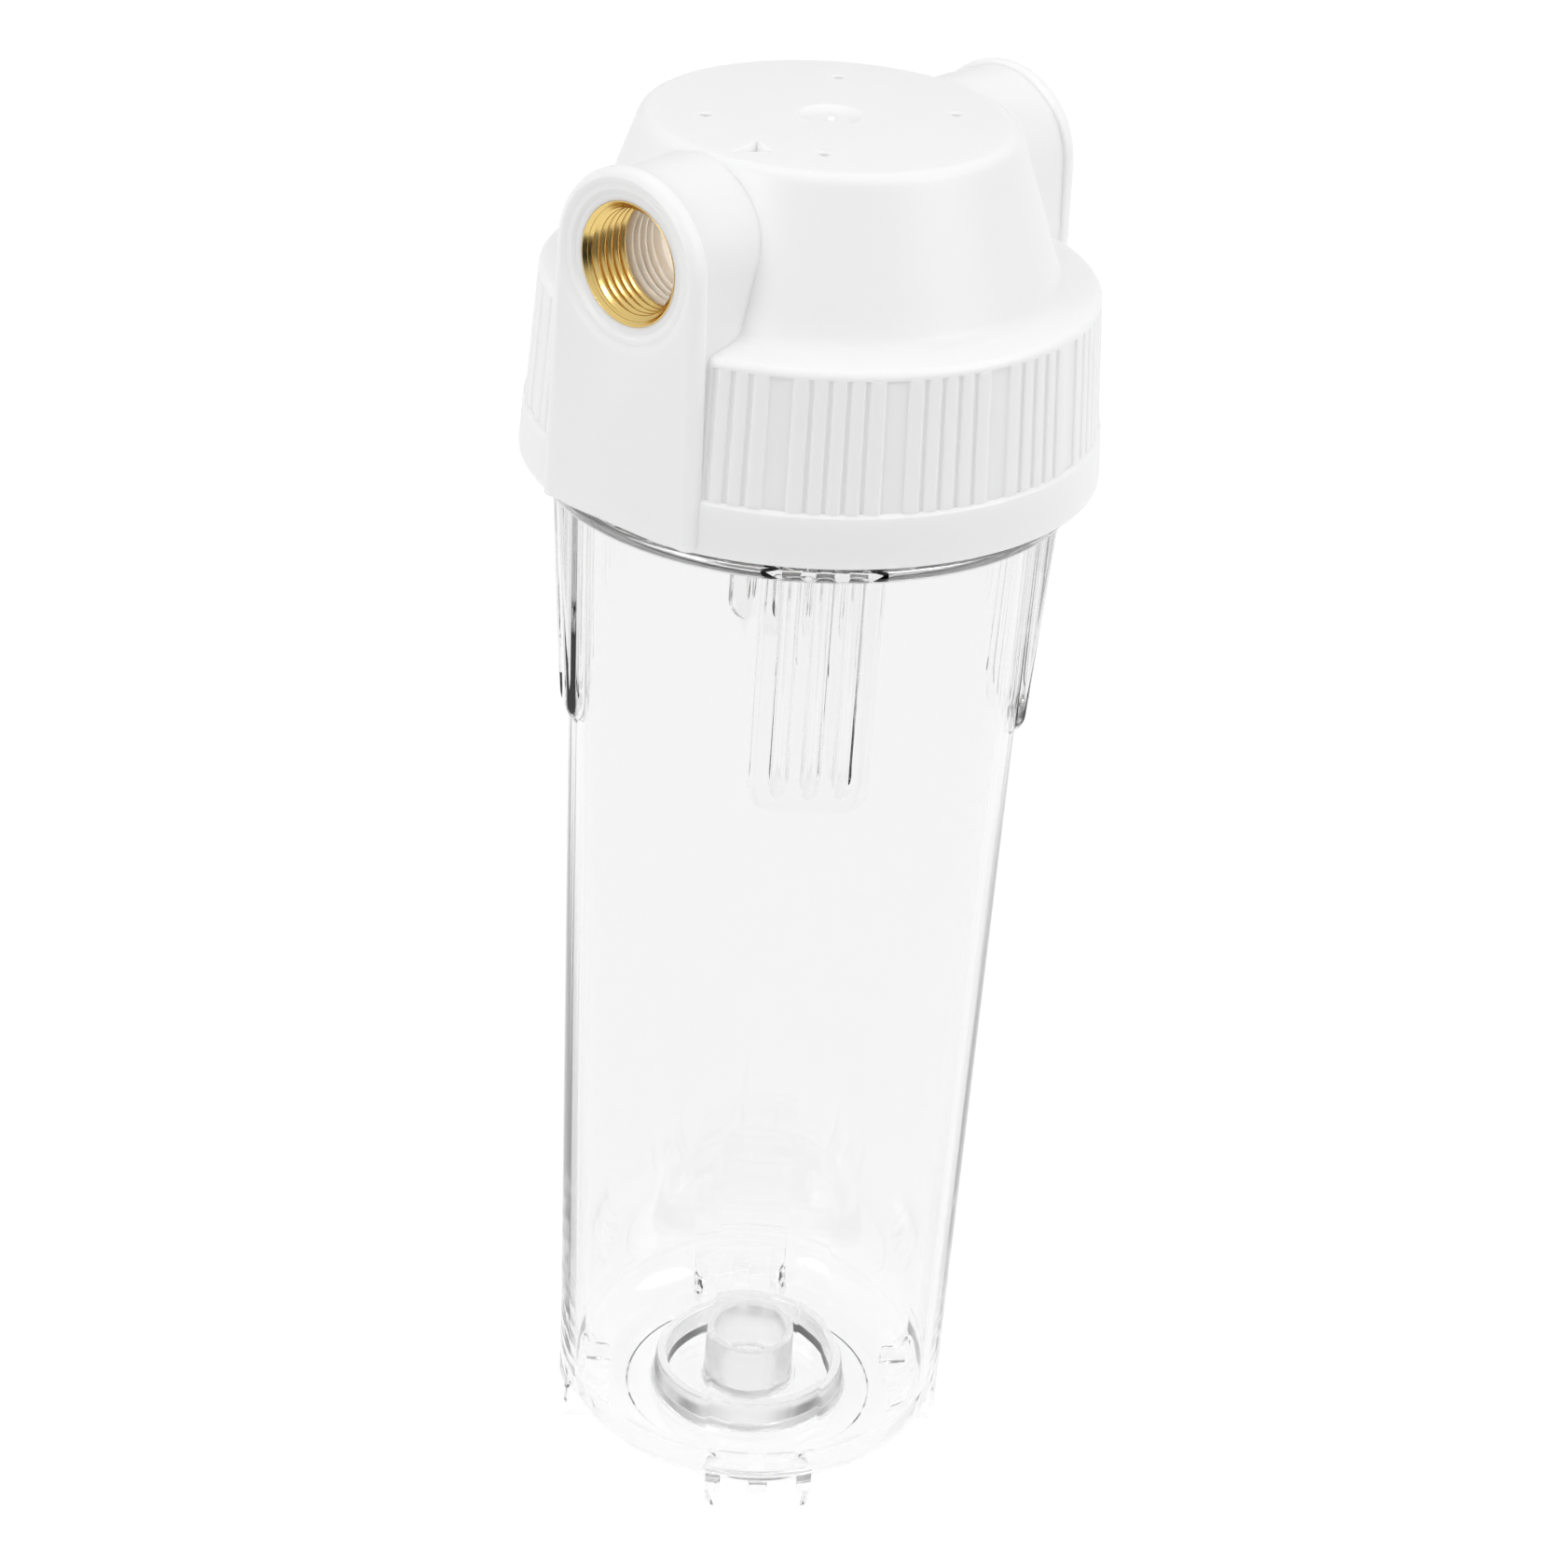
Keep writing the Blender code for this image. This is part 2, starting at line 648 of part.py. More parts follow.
def recess_points(centre, width, crest, floor):
    """One groove or panel: down its flank, across its floor and up the other flank."""
    half = width / 2
    angles = [(-half, crest), (RIB_FLANK - half, floor), (half - RIB_FLANK, floor), (half, crest)]
    if width > 2 * RIB_GROOVE:
        angles.insert(2, (0, floor))
    return [
        (radius * cos(radians(centre + turn)), radius * sin(radians(centre + turn)), 0)
        for turn, radius in angles
    ]


def ring_angles(steps):
    return [2 * pi * index / steps for index in range(steps)]


def port_outline(inset):
    """An arch over the bore with straight sides down to its foot. An inset makes the arch smaller."""
    radius = PORT_RADIUS - inset
    foot = RIM + PLATE_LIFT + inset
    half_width = PORT_RADIUS + PLATE_FLARE
    arch = [2 * pi * index / PORT_STEPS for index in range(PORT_STEPS // 2 + 1)]
    outline = [(radius * cos(angle), PORT_AXIS + radius * sin(angle), 0) for angle in arch]
    outline.append((-half_width, foot, 0))
    outline.append((half_width, foot, 0))
    return outline


def port_bosses():
    """The arched boss behind each port's collar."""
    block = sheet("boss_face", [port_outline(COLLAR_STEP)], PORT_INNER_X, PORT_FACE - COLLAR_DEPTH / 2)
    return patterned("port_bosses", block, BOTH_PORTS)


def port_collars():
    """The collar of each port, carried down to the rim as a flat-faced plate."""
    block = sheet("plate_face", [port_outline(0)], PORT_FACE - COLLAR_DEPTH, PORT_FACE)
    soften_face(block)
    return patterned("port_collars", block, BOTH_PORTS)


def soften_face(mesh):
    """Rounds the edge of the outer face, apart from its foot."""
    work = bmesh.new()
    work.from_mesh(mesh)
    foot = min(vertex.co.y for vertex in work.verts)
    rim = [
        edge
        for edge in work.edges
        if all(vertex.co.z > PORT_FACE - WELD for vertex in edge.verts)
        and not all(vertex.co.y < foot + WELD for vertex in edge.verts)
        and len(edge.link_faces) == 2
        and edge.calc_face_angle() > radians(45)
    ]
    bmesh.ops.bevel(
        work,
        geom=rim,
        offset=PLATE_EDGE,
        segments=2,
        profile=0.5,
        affect="EDGES",
        clamp_overlap=True,
    )
    work.to_mesh(mesh)
    work.free()


def plate_flats():
    """Takes the round skirt back just behind each flat port face."""
    half = PORT_RADIUS + PLATE_FLARE / 2
    outline = [box_outline(-half, half, RIM - BAND_HEIGHT, DOME_LOW)]
    face = sheet("flat_face", outline, PORT_FACE - FLAT_INSET, PORT_FACE + SKIRT_WALL)
    return patterned("plate_flats", face, BOTH_PORTS)


def head_inside():
    """Threaded socket, inlet chamber round the hub, and the outlet well up the middle."""
    hub = BORE_RADIUS + HUB_WALL
    nozzle = BORE_RADIUS + SEAT_DRAFT + POST_WALL
    seat_plate_top = SEAT_PLATE_LOW + SEAT_PLATE
    chamber_low = DOME_LOW - DOME_WALL
    thread_top = THREAD_LOW + THREAD_RISE + THREAD_PITCH / 2 + THREAD_ROOT / 2 + THREAD_RUNOUT
    return [
        (0, NOZZLE_LOW, 0),
        (nozzle, NOZZLE_LOW, 0),
        (nozzle + POST_DRAFT, SEAT_PLATE_LOW, 0),
        (SEAT_RADIUS - SEAT_WALL, SEAT_PLATE_LOW, 0),
        (SEAT_RADIUS - SEAT_WALL / 2, HEAD_SEAT, 0),
        (SEAT_RADIUS, HEAD_SEAT, 0),
        (SEAT_OUTER, SEAT_PLATE_LOW, 0),
        (SEAT_OUTER, seat_plate_top, 0),
        (hub, seat_plate_top + SEAT_PLATE / 2, 0),
        (hub, CEILING, HUB_FILLET),
        (dome_radius(CEILING) - DOME_WALL, CEILING, CHAMBER_FILLET),
        (dome_radius(DOME_LOW) - DOME_WALL, chamber_low, 0),
        (NECK_BORE, STOP + SHOULDER_WALL / 3, 0),
        (NECK_BORE, STOP, 0),
        (HEAD_BORE, STOP, 0),
        (HEAD_BORE, thread_top + THREAD_HEIGHT / 2, 0),
        (HEAD_ROOT, thread_top, 0),
        (HEAD_ROOT, RIM + RIM_CHAMFER, 0),
        (HEAD_ROOT + RIM_CHAMFER, RIM, 0),
        (HEAD_ROOT + RIM_CHAMFER, RIM - BAND_HEIGHT, 0),
        (0, RIM - BAND_HEIGHT, 0),
    ]


def bracket_places():
    return [
        Matrix.Translation((side * BRACKET_X, along * BRACKET_Y, 0))
        for side in (-1, 1)
        for along in (-1, 1)
    ]


def post_mesh(name, radius, low, high, steps=SMALL_STEPS):
    """An upright cylinder."""
    work = bmesh.new()
    middle = Matrix.Translation((0, 0, (low + high) / 2))
    bmesh.ops.create_cone(
        work,
        cap_ends=True,
        segments=steps,
        radius1=radius,
        radius2=radius,
        depth=high - low,
        matrix=middle,
    )
    mesh = bpy.data.meshes.new(name)
    work.to_mesh(mesh)
    work.free()
    return mesh


def port_bore(name, length):
    """Seat of the insert behind the stepped mouth of a port, and the passage beyond it."""
    face = INSERT_RECESS
    slope = PORT_RADIUS - MOUTH_LAND
    ledge = slope - MOUTH_SLOPE
    step = ledge - MOUTH_LEDGE
    seat = [(radius + INSERT_GAP, up, 0) for radius, up in insert_steps()]
    bottom = -INSERT_LENGTH - INSERT_GAP
    outline = [
        (0, 2 * face, 0),
        (PORT_RADIUS, 2 * face, 0),
        (slope, face + MOUTH_SPARE, 0),
        (ledge, face / 2, 0),
        (step, face / 2, 0),
        (step - MOUTH_STEP, 0, 0),
    ]
    outline += seat[:-1]
    outline += [
        (INSERT_RADIUS + INSERT_GAP, bottom, 0),
        (BORE_RADIUS, bottom, 0),
        (BORE_RADIUS, -length, 0),
        (0, -length, 0),
    ]
    return solid_of(turned(name, outline, PORT_STEPS))


def insert_steps():
    """Outside of an insert, from its face inward: a waist between two full-width ends."""
    end = INSERT_LENGTH / 3
    slope = INSERT_WAIST
    return [
        (INSERT_RADIUS, 0),
        (INSERT_RADIUS, -end),
        (INSERT_RADIUS - INSERT_WAIST, -end - slope),
        (INSERT_RADIUS - INSERT_WAIST, -2 * end),
        (INSERT_RADIUS, -2 * end - slope),
        (INSERT_RADIUS, -INSERT_LENGTH),
    ]


def port_place(side):
    """From an insert's own frame, with its face at the origin, to its port at -X or +X."""
    turn = about_z(0 if side > 0 else 180)
    return turn @ Matrix.Translation((PORT_FACE - INSERT_RECESS, 0, PORT_AXIS)) @ TO_PORT


def build_head():
    head = turned("head_cap", head_outside(), ROUND_STEPS, PARTS)
    combine(head, rib_cutter(), "DIFFERENCE")
    combine(head, plate_flats(), "DIFFERENCE")
    combine(head, port_bosses(), "UNION")
    combine(head, port_collars(), "UNION")
    combine(head, turned("head_cavity", head_inside(), ROUND_STEPS), "DIFFERENCE")
    bosses = post_mesh("bracket_boss", BOSS_RADIUS, CEILING - BOSS_DROP, CEILING + TOP_WALL / 2)
    combine(head, patterned("bracket_bosses", bosses, bracket_places()), "UNION")
    combine(head, outlet_duct(), "UNION")
    well_low = NOZZLE_LOW - NOZZLE_LENGTH
    well = post_mesh("outlet_well", BORE_RADIUS + WELL_SPARE, well_low, WELL_TOP, PORT_STEPS)
    combine(head, add_object("outlet_well", well, CUTTERS), "DIFFERENCE")
    pilots = post_mesh("pilot", PILOT_RADIUS, TOP - PILOT_DEPTH, TOP + TOP_WALL)
    combine(head, patterned("pilot_holes", pilots, bracket_places()), "DIFFERENCE")
    inner = PORT_FACE - INSERT_RECESS
    chamber_wall = dome_radius(PORT_AXIS) - DOME_WALL
    inlet = port_bore("inlet_bore", inner - chamber_wall + BORE_RADIUS)
    outlet = port_bore("outlet_bore", inner)
    combine(head, patterned("inlet_cutter", inlet, [port_place(-1)]), "DIFFERENCE")
    combine(head, patterned("outlet_cutter", outlet, [port_place(1)]), "DIFFERENCE")
    combine(head, thread_ridge("head_thread", HEAD_ROOT, HEAD_BORE, THREAD_LOW + THREAD_PITCH / 2), "UNION")
    finish(head, make_material("white_plastic", (0.87, 0.87, 0.86), 0.32))


def outlet_duct():
    """Pipe across the chamber, from the hub to the outlet port."""
    reach = dome_radius(PORT_AXIS) - DOME_WALL / 2
    pipe = post_mesh("outlet_duct", BORE_RADIUS + DUCT_WALL, 0, reach, PORT_STEPS)
    return patterned("outlet_duct", pipe, [Matrix.Translation((0, 0, PORT_AXIS)) @ TO_PORT])


def build_inserts():
    brass = make_material("brass", (0.78, 0.55, 0.22), 0.22, metallic=1.0)
    outline = [(radius, up, 0) for radius, up in insert_steps()]
    outline += [(INSERT_BORE, -INSERT_LENGTH, 0), (INSERT_BORE, -INSERT_CHAMFER, 0), (INSERT_MOUTH, 0, 0)]
    for name, side in (("inlet_brass_insert", -1), ("outlet_brass_insert", 1)):
        insert = turned(name, outline, PORT_STEPS, PARTS, closed=True)
        insert.matrix_world = port_place(side)
        place_mesh(insert, brass)


def place_mesh(item, material):
    """Finishes a placed object without moving its origin."""
    place = item.matrix_world.copy()
    finish(item, material)
    item.data.transform(place.inverted())
    item.matrix_world = place


build_bowl()
build_seal()
build_head()
build_inserts()
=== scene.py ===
from math import acos, asin, atan2, cos, degrees, pi, radians, sin, sqrt, tan

import bmesh
import bpy
from mathutils import Matrix, Vector


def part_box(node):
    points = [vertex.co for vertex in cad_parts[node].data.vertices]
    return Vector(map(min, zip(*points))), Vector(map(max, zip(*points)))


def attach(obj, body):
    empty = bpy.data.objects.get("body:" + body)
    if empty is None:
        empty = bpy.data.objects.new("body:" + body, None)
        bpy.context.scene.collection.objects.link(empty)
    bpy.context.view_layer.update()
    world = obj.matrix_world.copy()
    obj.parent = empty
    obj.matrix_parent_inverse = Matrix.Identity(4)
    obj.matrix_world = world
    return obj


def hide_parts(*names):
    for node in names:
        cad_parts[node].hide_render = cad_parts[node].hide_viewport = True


# An empty clear-bowl water filter housing on a white sweep. Everything is in metres.

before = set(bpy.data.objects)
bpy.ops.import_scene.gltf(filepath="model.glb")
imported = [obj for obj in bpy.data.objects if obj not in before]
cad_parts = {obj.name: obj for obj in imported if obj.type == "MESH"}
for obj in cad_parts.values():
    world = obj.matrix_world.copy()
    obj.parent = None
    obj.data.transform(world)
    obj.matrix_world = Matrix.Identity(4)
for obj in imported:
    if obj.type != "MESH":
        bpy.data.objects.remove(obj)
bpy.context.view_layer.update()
mm = 0.001


# small tools

def hexLinear(code):
    # sRGB hex to the linear values that shaders take
    parts = [int(code[index:index + 2], 16) / 255 for index in (1, 3, 5)]
    return [part / 12.92 if part <= 0.04045 else ((part + 0.055) / 1.055) ** 2.4 for part in parts]


def addNode(tree, kind, settings=None, links=None):
    # one node, with values for its sockets or properties; a link comes from a socket, or a node's first one
    node = tree.nodes.new("ShaderNode" + kind)
    for key, value in (settings or {}).items():
        if isinstance(key, int) or key in node.inputs:
            node.inputs[key].default_value = value
        else:
            setattr(node, key, value)
    for key, source in (links or {}).items():
        tree.links.new(getattr(source, "outputs", [source])[0], node.inputs[key])
    return node


def newMaterial(name):
    material = bpy.data.materials.new(name)
    material.use_nodes = True
    material.node_tree.nodes.clear()
    return material, material.node_tree


def filletPath(corners, arcStep=10):
    # (across, up, fillet) corners to points, with each filleted corner as an arc
    points = []
    for index, (across, up, fillet) in enumerate(corners):
        here = Vector((across, up))
        if not fillet:
            points.append(here)
            continue
        inward = (Vector(corners[index - 1][:2]) - here).normalized()
        outward = (Vector(corners[(index + 1) % len(corners)][:2]) - here).normalized()
        turn = pi - inward.angle(outward)
        middle = here + (inward + outward).normalized() * fillet / cos(turn / 2)
        start = here + inward * fillet * tan(turn / 2) - middle
        side = 1 if start.cross(here + outward * fillet * tan(turn / 2) - middle) > 0 else -1
        steps = max(3, round(degrees(turn) / arcStep))
        for step in range(steps + 1):
            points.append(middle + Matrix.Rotation(side * turn * step / steps, 2) @ start)
    return points


def spinPath(points, steps, closed=False):
    # a profile in the XZ plane turned right round Z; the layer keeps each vertex's place on the profile
    bm = bmesh.new()
    level = bm.verts.layers.int.new("level")
    verts = [bm.verts.new((point.x, 0, point.y)) for point in points]
    for index, vert in enumerate(verts):
        vert[level] = index
    edges = [bm.edges.new(pair) for pair in zip(verts, verts[1:])]
    if closed:
        edges.append(bm.edges.new((verts[-1], verts[0])))
    bmesh.ops.spin(
        bm, geom=verts + edges, cent=(0, 0, 0), axis=(0, 0, 1),
        angle=2 * pi, steps=steps, use_merge=True, use_duplicate=False,
    )
    return bm


def tidyShell(bm, gap=1e-7):
    bmesh.ops.remove_doubles(bm, verts=bm.verts, dist=gap)
    bmesh.ops.recalc_face_normals(bm, faces=bm.faces)
    return bm


def meshObject(name, bm, place=None):
    mesh = bpy.data.meshes.new(name)
    bm.to_mesh(mesh)
    bm.free()
    if place is not None:
        mesh.transform(place)
    thing = bpy.data.objects.new(name, mesh)
    bpy.context.scene.collection.objects.link(thing)
    return thing


def combine(piece, tool, how, keepTool=False):
    # a boolean that is applied at once; the tool goes, unless it is used again
    step = piece.modifiers.new(how, "BOOLEAN")
    step.object = tool
    step.operation = how
    step.solver = "MANIFOLD"
    graph = bpy.context.evaluated_depsgraph_get()
    mesh = bpy.data.meshes.new_from_object(piece.evaluated_get(graph))
    piece.modifiers.clear()
    old = piece.data
    piece.data = mesh
    mesh.name = piece.name
    bpy.data.meshes.remove(old)
    if not keepTool:
        bpy.data.objects.remove(tool)


def finishPiece(piece, material, body, nodes, sharp=28):
    piece.data.materials.clear()
    piece.data.materials.append(material)
    piece.data.shade_smooth()
    piece.data.set_sharp_from_angle(angle=radians(sharp))
    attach(piece, body)
    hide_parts(*nodes)
    print(piece.name, len(piece.data.polygons), "faces")


def turned(name, corners, steps, arcStep=10, closed=False, place=None):
    bm = tidyShell(spinPath(filletPath(corners, arcStep), steps, closed))
    return meshObject(name, bm, place)


def helixRidge(name, section, pitch, turns, start, stepsPerTurn, place=None):
    # a section of (radius, up) corners swept up a screw line, with its two ends capped
    steps = round(stepsPerTurn * turns)
    bm = bmesh.new()
    first = bm.faces.new([bm.verts.new((radius, 0, start + up)) for radius, up in section])
    bmesh.ops.spin(
        bm, geom=[first] + list(first.edges) + list(first.verts), cent=(0, 0, 0), axis=(0, 0, 1),
        dvec=(0, 0, pitch * turns / steps), angle=2 * pi * turns, steps=steps, use_duplicate=False,
    )
    bmesh.ops.recalc_face_normals(bm, faces=bm.faces)
    return meshObject(name, bm, place)


def aboutZ(angle):
    return Matrix.Rotation(radians(angle), 4, "Z")


# where the ports are: a shape made about Z with its mouth at the origin, turned to face out along -X or +X
def portPlace(side, face, axisHeight):
    turn = aboutZ(0 if side > 0 else 180)
    return turn @ Matrix.Translation((face, 0, axisHeight)) @ Matrix.Rotation(pi / 2, 4, "Y")


# levels and radii that the pieces share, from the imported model
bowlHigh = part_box("sump")[1]
headLow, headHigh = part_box("head_cap")
sealLow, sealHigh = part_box("sump_o_ring")
shared = {
    "neckTop": bowlHigh.z,
    "rim": headLow.z,
    "crown": headHigh.z,
    "face": headHigh.x,
    "rimRadius": headHigh.y,
    "flangeRadius": 55.0 * mm,
    "neckRadius": 50.55 * mm,
    "neckBore": 44.95 * mm,
    "threadPitch": 5.0 * mm,
    "threadTurns": 2.4,
}
shared["flangeTop"] = shared["rim"] - 2.5 * mm
shared["portAxis"] = shared["crown"] - 18.4 * mm
shared["top"] = shared["crown"] - 0.5 * mm


# camera, at the photograph's angle

cameraSet = {
    "azimuth": 219.7783,      # degrees, from +X towards +Y
    "elevation": 28.2247,
    "distance": 787.4683 * mm,
    "aimHeight": 151.7 * mm,
    "tilt": (-0.0091, -0.0008, -0.0664),    # radians about right, up and back
    "lens": 84.295,
}


def makeCamera(values):
    around, rise = radians(values["azimuth"]), radians(values["elevation"])
    back = Vector((cos(around) * cos(rise), sin(around) * cos(rise), sin(rise)))
    right = Vector((0, 0, 1)).cross(back).normalized()
    up = back.cross(right)
    level = Matrix((right, up, back))
    pitch, yaw, roll = values["tilt"]
    turn = Matrix.Rotation(roll, 3, "Z") @ Matrix.Rotation(yaw, 3, "Y") @ Matrix.Rotation(pitch, 3, "X")
    camera = bpy.data.objects.new("camera", bpy.data.cameras.new("camera"))
    camera.data.lens = values["lens"]
    camera.data.sensor_width = 36
    camera.data.clip_start = 0.01
    aim = Vector((0, 0, values["aimHeight"]))
    facing = (turn @ level).transposed().to_4x4()
    camera.matrix_world = Matrix.Translation(aim + back * values["distance"]) @ facing
    bpy.context.scene.collection.objects.link(camera)
    bpy.context.scene.camera = camera


makeCamera(cameraSet)
print("camera")


# white table in a daylight-white studio that is darker in front, and two soft lamps

studio = {
    "floorSize": 6.0,
    "floorFront": 0.42,        # the table ends this far in front of the object
    "floorPaint": "#F2F2F2",
    "floorGlow": 0.84,         # share of the floor's white that no shadow takes away
    "floorShade": 0.2,
    "worldLevel": 1.0,
    "worldFront": 0.95,        # level straight in front, next to the rest
    "lowUpTo": 0.44,           # from 0 straight down to 1 straight up
    "worldLow": "#828282",
    "worldSide": "#D5D5D5",
    "worldTop": "#F4F4F4",
    "topFrom": 0.9,
    "darkLevel": 0.08,         # what polished faces see low on the right, where the room isn't lit
    "darkUpTo": 0.3,
    "darkTowards": 268,        # degrees, from +X towards +Y
    "darkFrom": (0.5, 0.7),
    "frontFrom": (0.1, 0.95),  # from the side to straight in front
    "lampAim": (0, 0, 0.2),
    "key": ((0.45, -1.15, 0.95), 0.9, 5.2),       # place, size and power
    "side": ((-1.25, 0.05, 0.75), 0.5, 4.4),
    "bounces": 32,
    "trappedBounces": 24,      # light in the clear wall needs many turns to find its way out
    "innerRing": 29 * mm,      # lamps inside the head
    "innerHeight": 284 * mm,
    "innerPower": 0.009,
    "innerSize": 3 * mm,
}


def makeFloor(values):
    bm = bmesh.new()
    bmesh.ops.create_grid(bm, x_segments=1, y_segments=1, size=values["floorSize"])
    bmesh.ops.translate(bm, vec=(values["floorFront"] - values["floorSize"], 0, 0), verts=bm.verts)
    floor = meshObject("floor", bm, aboutZ(cameraSet["azimuth"]))
    # matt white paper sweep: an even white with a faint contact shadow
    material, tree = newMaterial("white_paper_sweep")
    paint = (*hexLinear(values["floorPaint"]), 1)
    path = addNode(tree, "LightPath")
    seen = addNode(tree, "Math", {"operation": "ADD", "use_clamp": True},
                   {0: path.outputs["Is Camera Ray"], 1: path.outputs["Is Glossy Ray"]})
    seen = addNode(tree, "Math", {"operation": "ADD", "use_clamp": True},
                   {0: seen, 1: path.outputs["Is Transmission Ray"]})
    glow = addNode(tree, "Emission", {"Color": (1, 1, 1, 1), "Strength": values["floorGlow"]})
    rest = values["floorShade"]
    shade = addNode(tree, "BsdfDiffuse", {"Color": (rest, rest, rest, 1)})
    both = addNode(tree, "AddShader", None, {0: glow, 1: shade})
    paper = addNode(tree, "BsdfDiffuse", {"Color": paint})
    mix = addNode(tree, "MixShader", None,
                  {0: seen, 1: paper, 2: both})
    addNode(tree, "OutputMaterial", None, {"Surface": mix})
    floor.data.materials.append(material)


def makeWorld(values):
    # a bright studio: white overhead, greyer level with the object, dark below the table; the eye sees it white,
    # also through the clear bowl
    world = bpy.data.worlds.new("studio")
    world.use_nodes = True
    bpy.context.scene.world = world
    tree = world.node_tree
    tree.nodes.clear()
    place = addNode(tree, "TexCoord")
    split = addNode(tree, "SeparateXYZ", None, {0: place.outputs["Generated"]})
    rise = addNode(tree, "MapRange", {"From Min": -1.0}, {"Value": split.outputs["Z"]})
    ramp = addNode(tree, "ValToRGB", None, {0: rise})
    stops = [(values["lowUpTo"], "worldLow"), (0.5, "worldSide"), (values["topFrom"], "worldTop")]
    ramp.color_ramp.elements.new(0.5)
    for element, (position, colour) in zip(ramp.color_ramp.elements, stops):
        element.position = position
        element.color = (*hexLinear(values[colour]), 1)
    around = radians(cameraSet["azimuth"])
    ahead = addNode(tree, "VectorMath", {
        "operation": "DOT_PRODUCT", 1: (cos(around), sin(around), 0),
    }, {0: place.outputs["Generated"]})
    level = addNode(tree, "MapRange", {
        "From Min": values["frontFrom"][0], "From Max": values["frontFrom"][1],
        "To Min": values["worldLevel"], "To Max": values["worldLevel"] * values["worldFront"],
    }, {"Value": ahead.outputs["Value"]})
    path = addNode(tree, "LightPath")
    away = radians(values["darkTowards"])
    across = addNode(tree, "VectorMath", {"operation": "DOT_PRODUCT", 1: (cos(away), sin(away), 0)},
                     {0: place.outputs["Generated"]})
    unlit = addNode(tree, "MapRange", {
        "From Min": values["darkFrom"][0], "From Max": values["darkFrom"][1],
    }, {"Value": across.outputs["Value"]})
    mirrored = addNode(tree, "Math", {"operation": "MULTIPLY"},
                       {0: unlit, 1: path.outputs["Is Glossy Ray"]})
    dark = addNode(tree, "MapRange", {
        "From Max": values["darkUpTo"], "To Min": values["darkLevel"],
    }, {"Value": split.outputs["Z"]})
    share = addNode(tree, "Mix", {"A": 1.0}, {"Factor": mirrored, "B": dark})
    strength = addNode(tree, "Math", {"operation": "MULTIPLY"}, {0: level, 1: share})
    light = addNode(tree, "Background", None,
                    {"Color": ramp, "Strength": strength})
    white = addNode(tree, "Background", {"Color": (1, 1, 1, 1), "Strength": 1.0})
    seen = addNode(tree, "Math", {"operation": "ADD", "use_clamp": True},
                   {0: path.outputs["Is Camera Ray"], 1: path.outputs["Is Transmission Ray"]})
    mix = addNode(tree, "MixShader", None,
                  {0: seen, 1: light, 2: white})
    addNode(tree, "OutputWorld", None, {"Surface": mix})


def makeLamp(name, aim, place, size, power):
    lamp = bpy.data.objects.new(name, bpy.data.lights.new(name, "AREA"))
    lamp.data.shape = "DISK"
    lamp.data.size = size
    lamp.data.energy = power
    lamp.location = place
    lamp.rotation_mode = "QUATERNION"
    lamp.rotation_quaternion = (Vector(place) - Vector(aim)).to_track_quat("Z", "Y")
    bpy.context.scene.collection.objects.link(lamp)


def makeInnerLamps(values):
    # the head's milky wall lets daylight into its chamber, and four small lamps in there stand in for that
    for quarter in range(4):
        lamp = bpy.data.objects.new("inner", bpy.data.lights.new("inner", "POINT"))
        lamp.data.energy = values["innerPower"]
        lamp.data.shadow_soft_size = values["innerSize"]
        lamp.location = aboutZ(45 + 90 * quarter) @ Vector((values["innerRing"], 0, values["innerHeight"]))
        lamp.visible_glossy = False
        lamp.visible_transmission = False
        bpy.context.scene.collection.objects.link(lamp)


makeFloor(studio)
makeWorld(studio)
makeInnerLamps(studio)
for lampName in ("key", "side"):
    makeLamp(lampName, studio["lampAim"], *studio[lampName])
bpy.context.scene.view_settings.view_transform = "Standard"
cycles = bpy.context.scene.cycles
cycles.max_bounces = studio["bounces"]
cycles.glossy_bounces = cycles.transmission_bounces = studio["trappedBounces"]
print("studio")


# bowl: one clear moulding

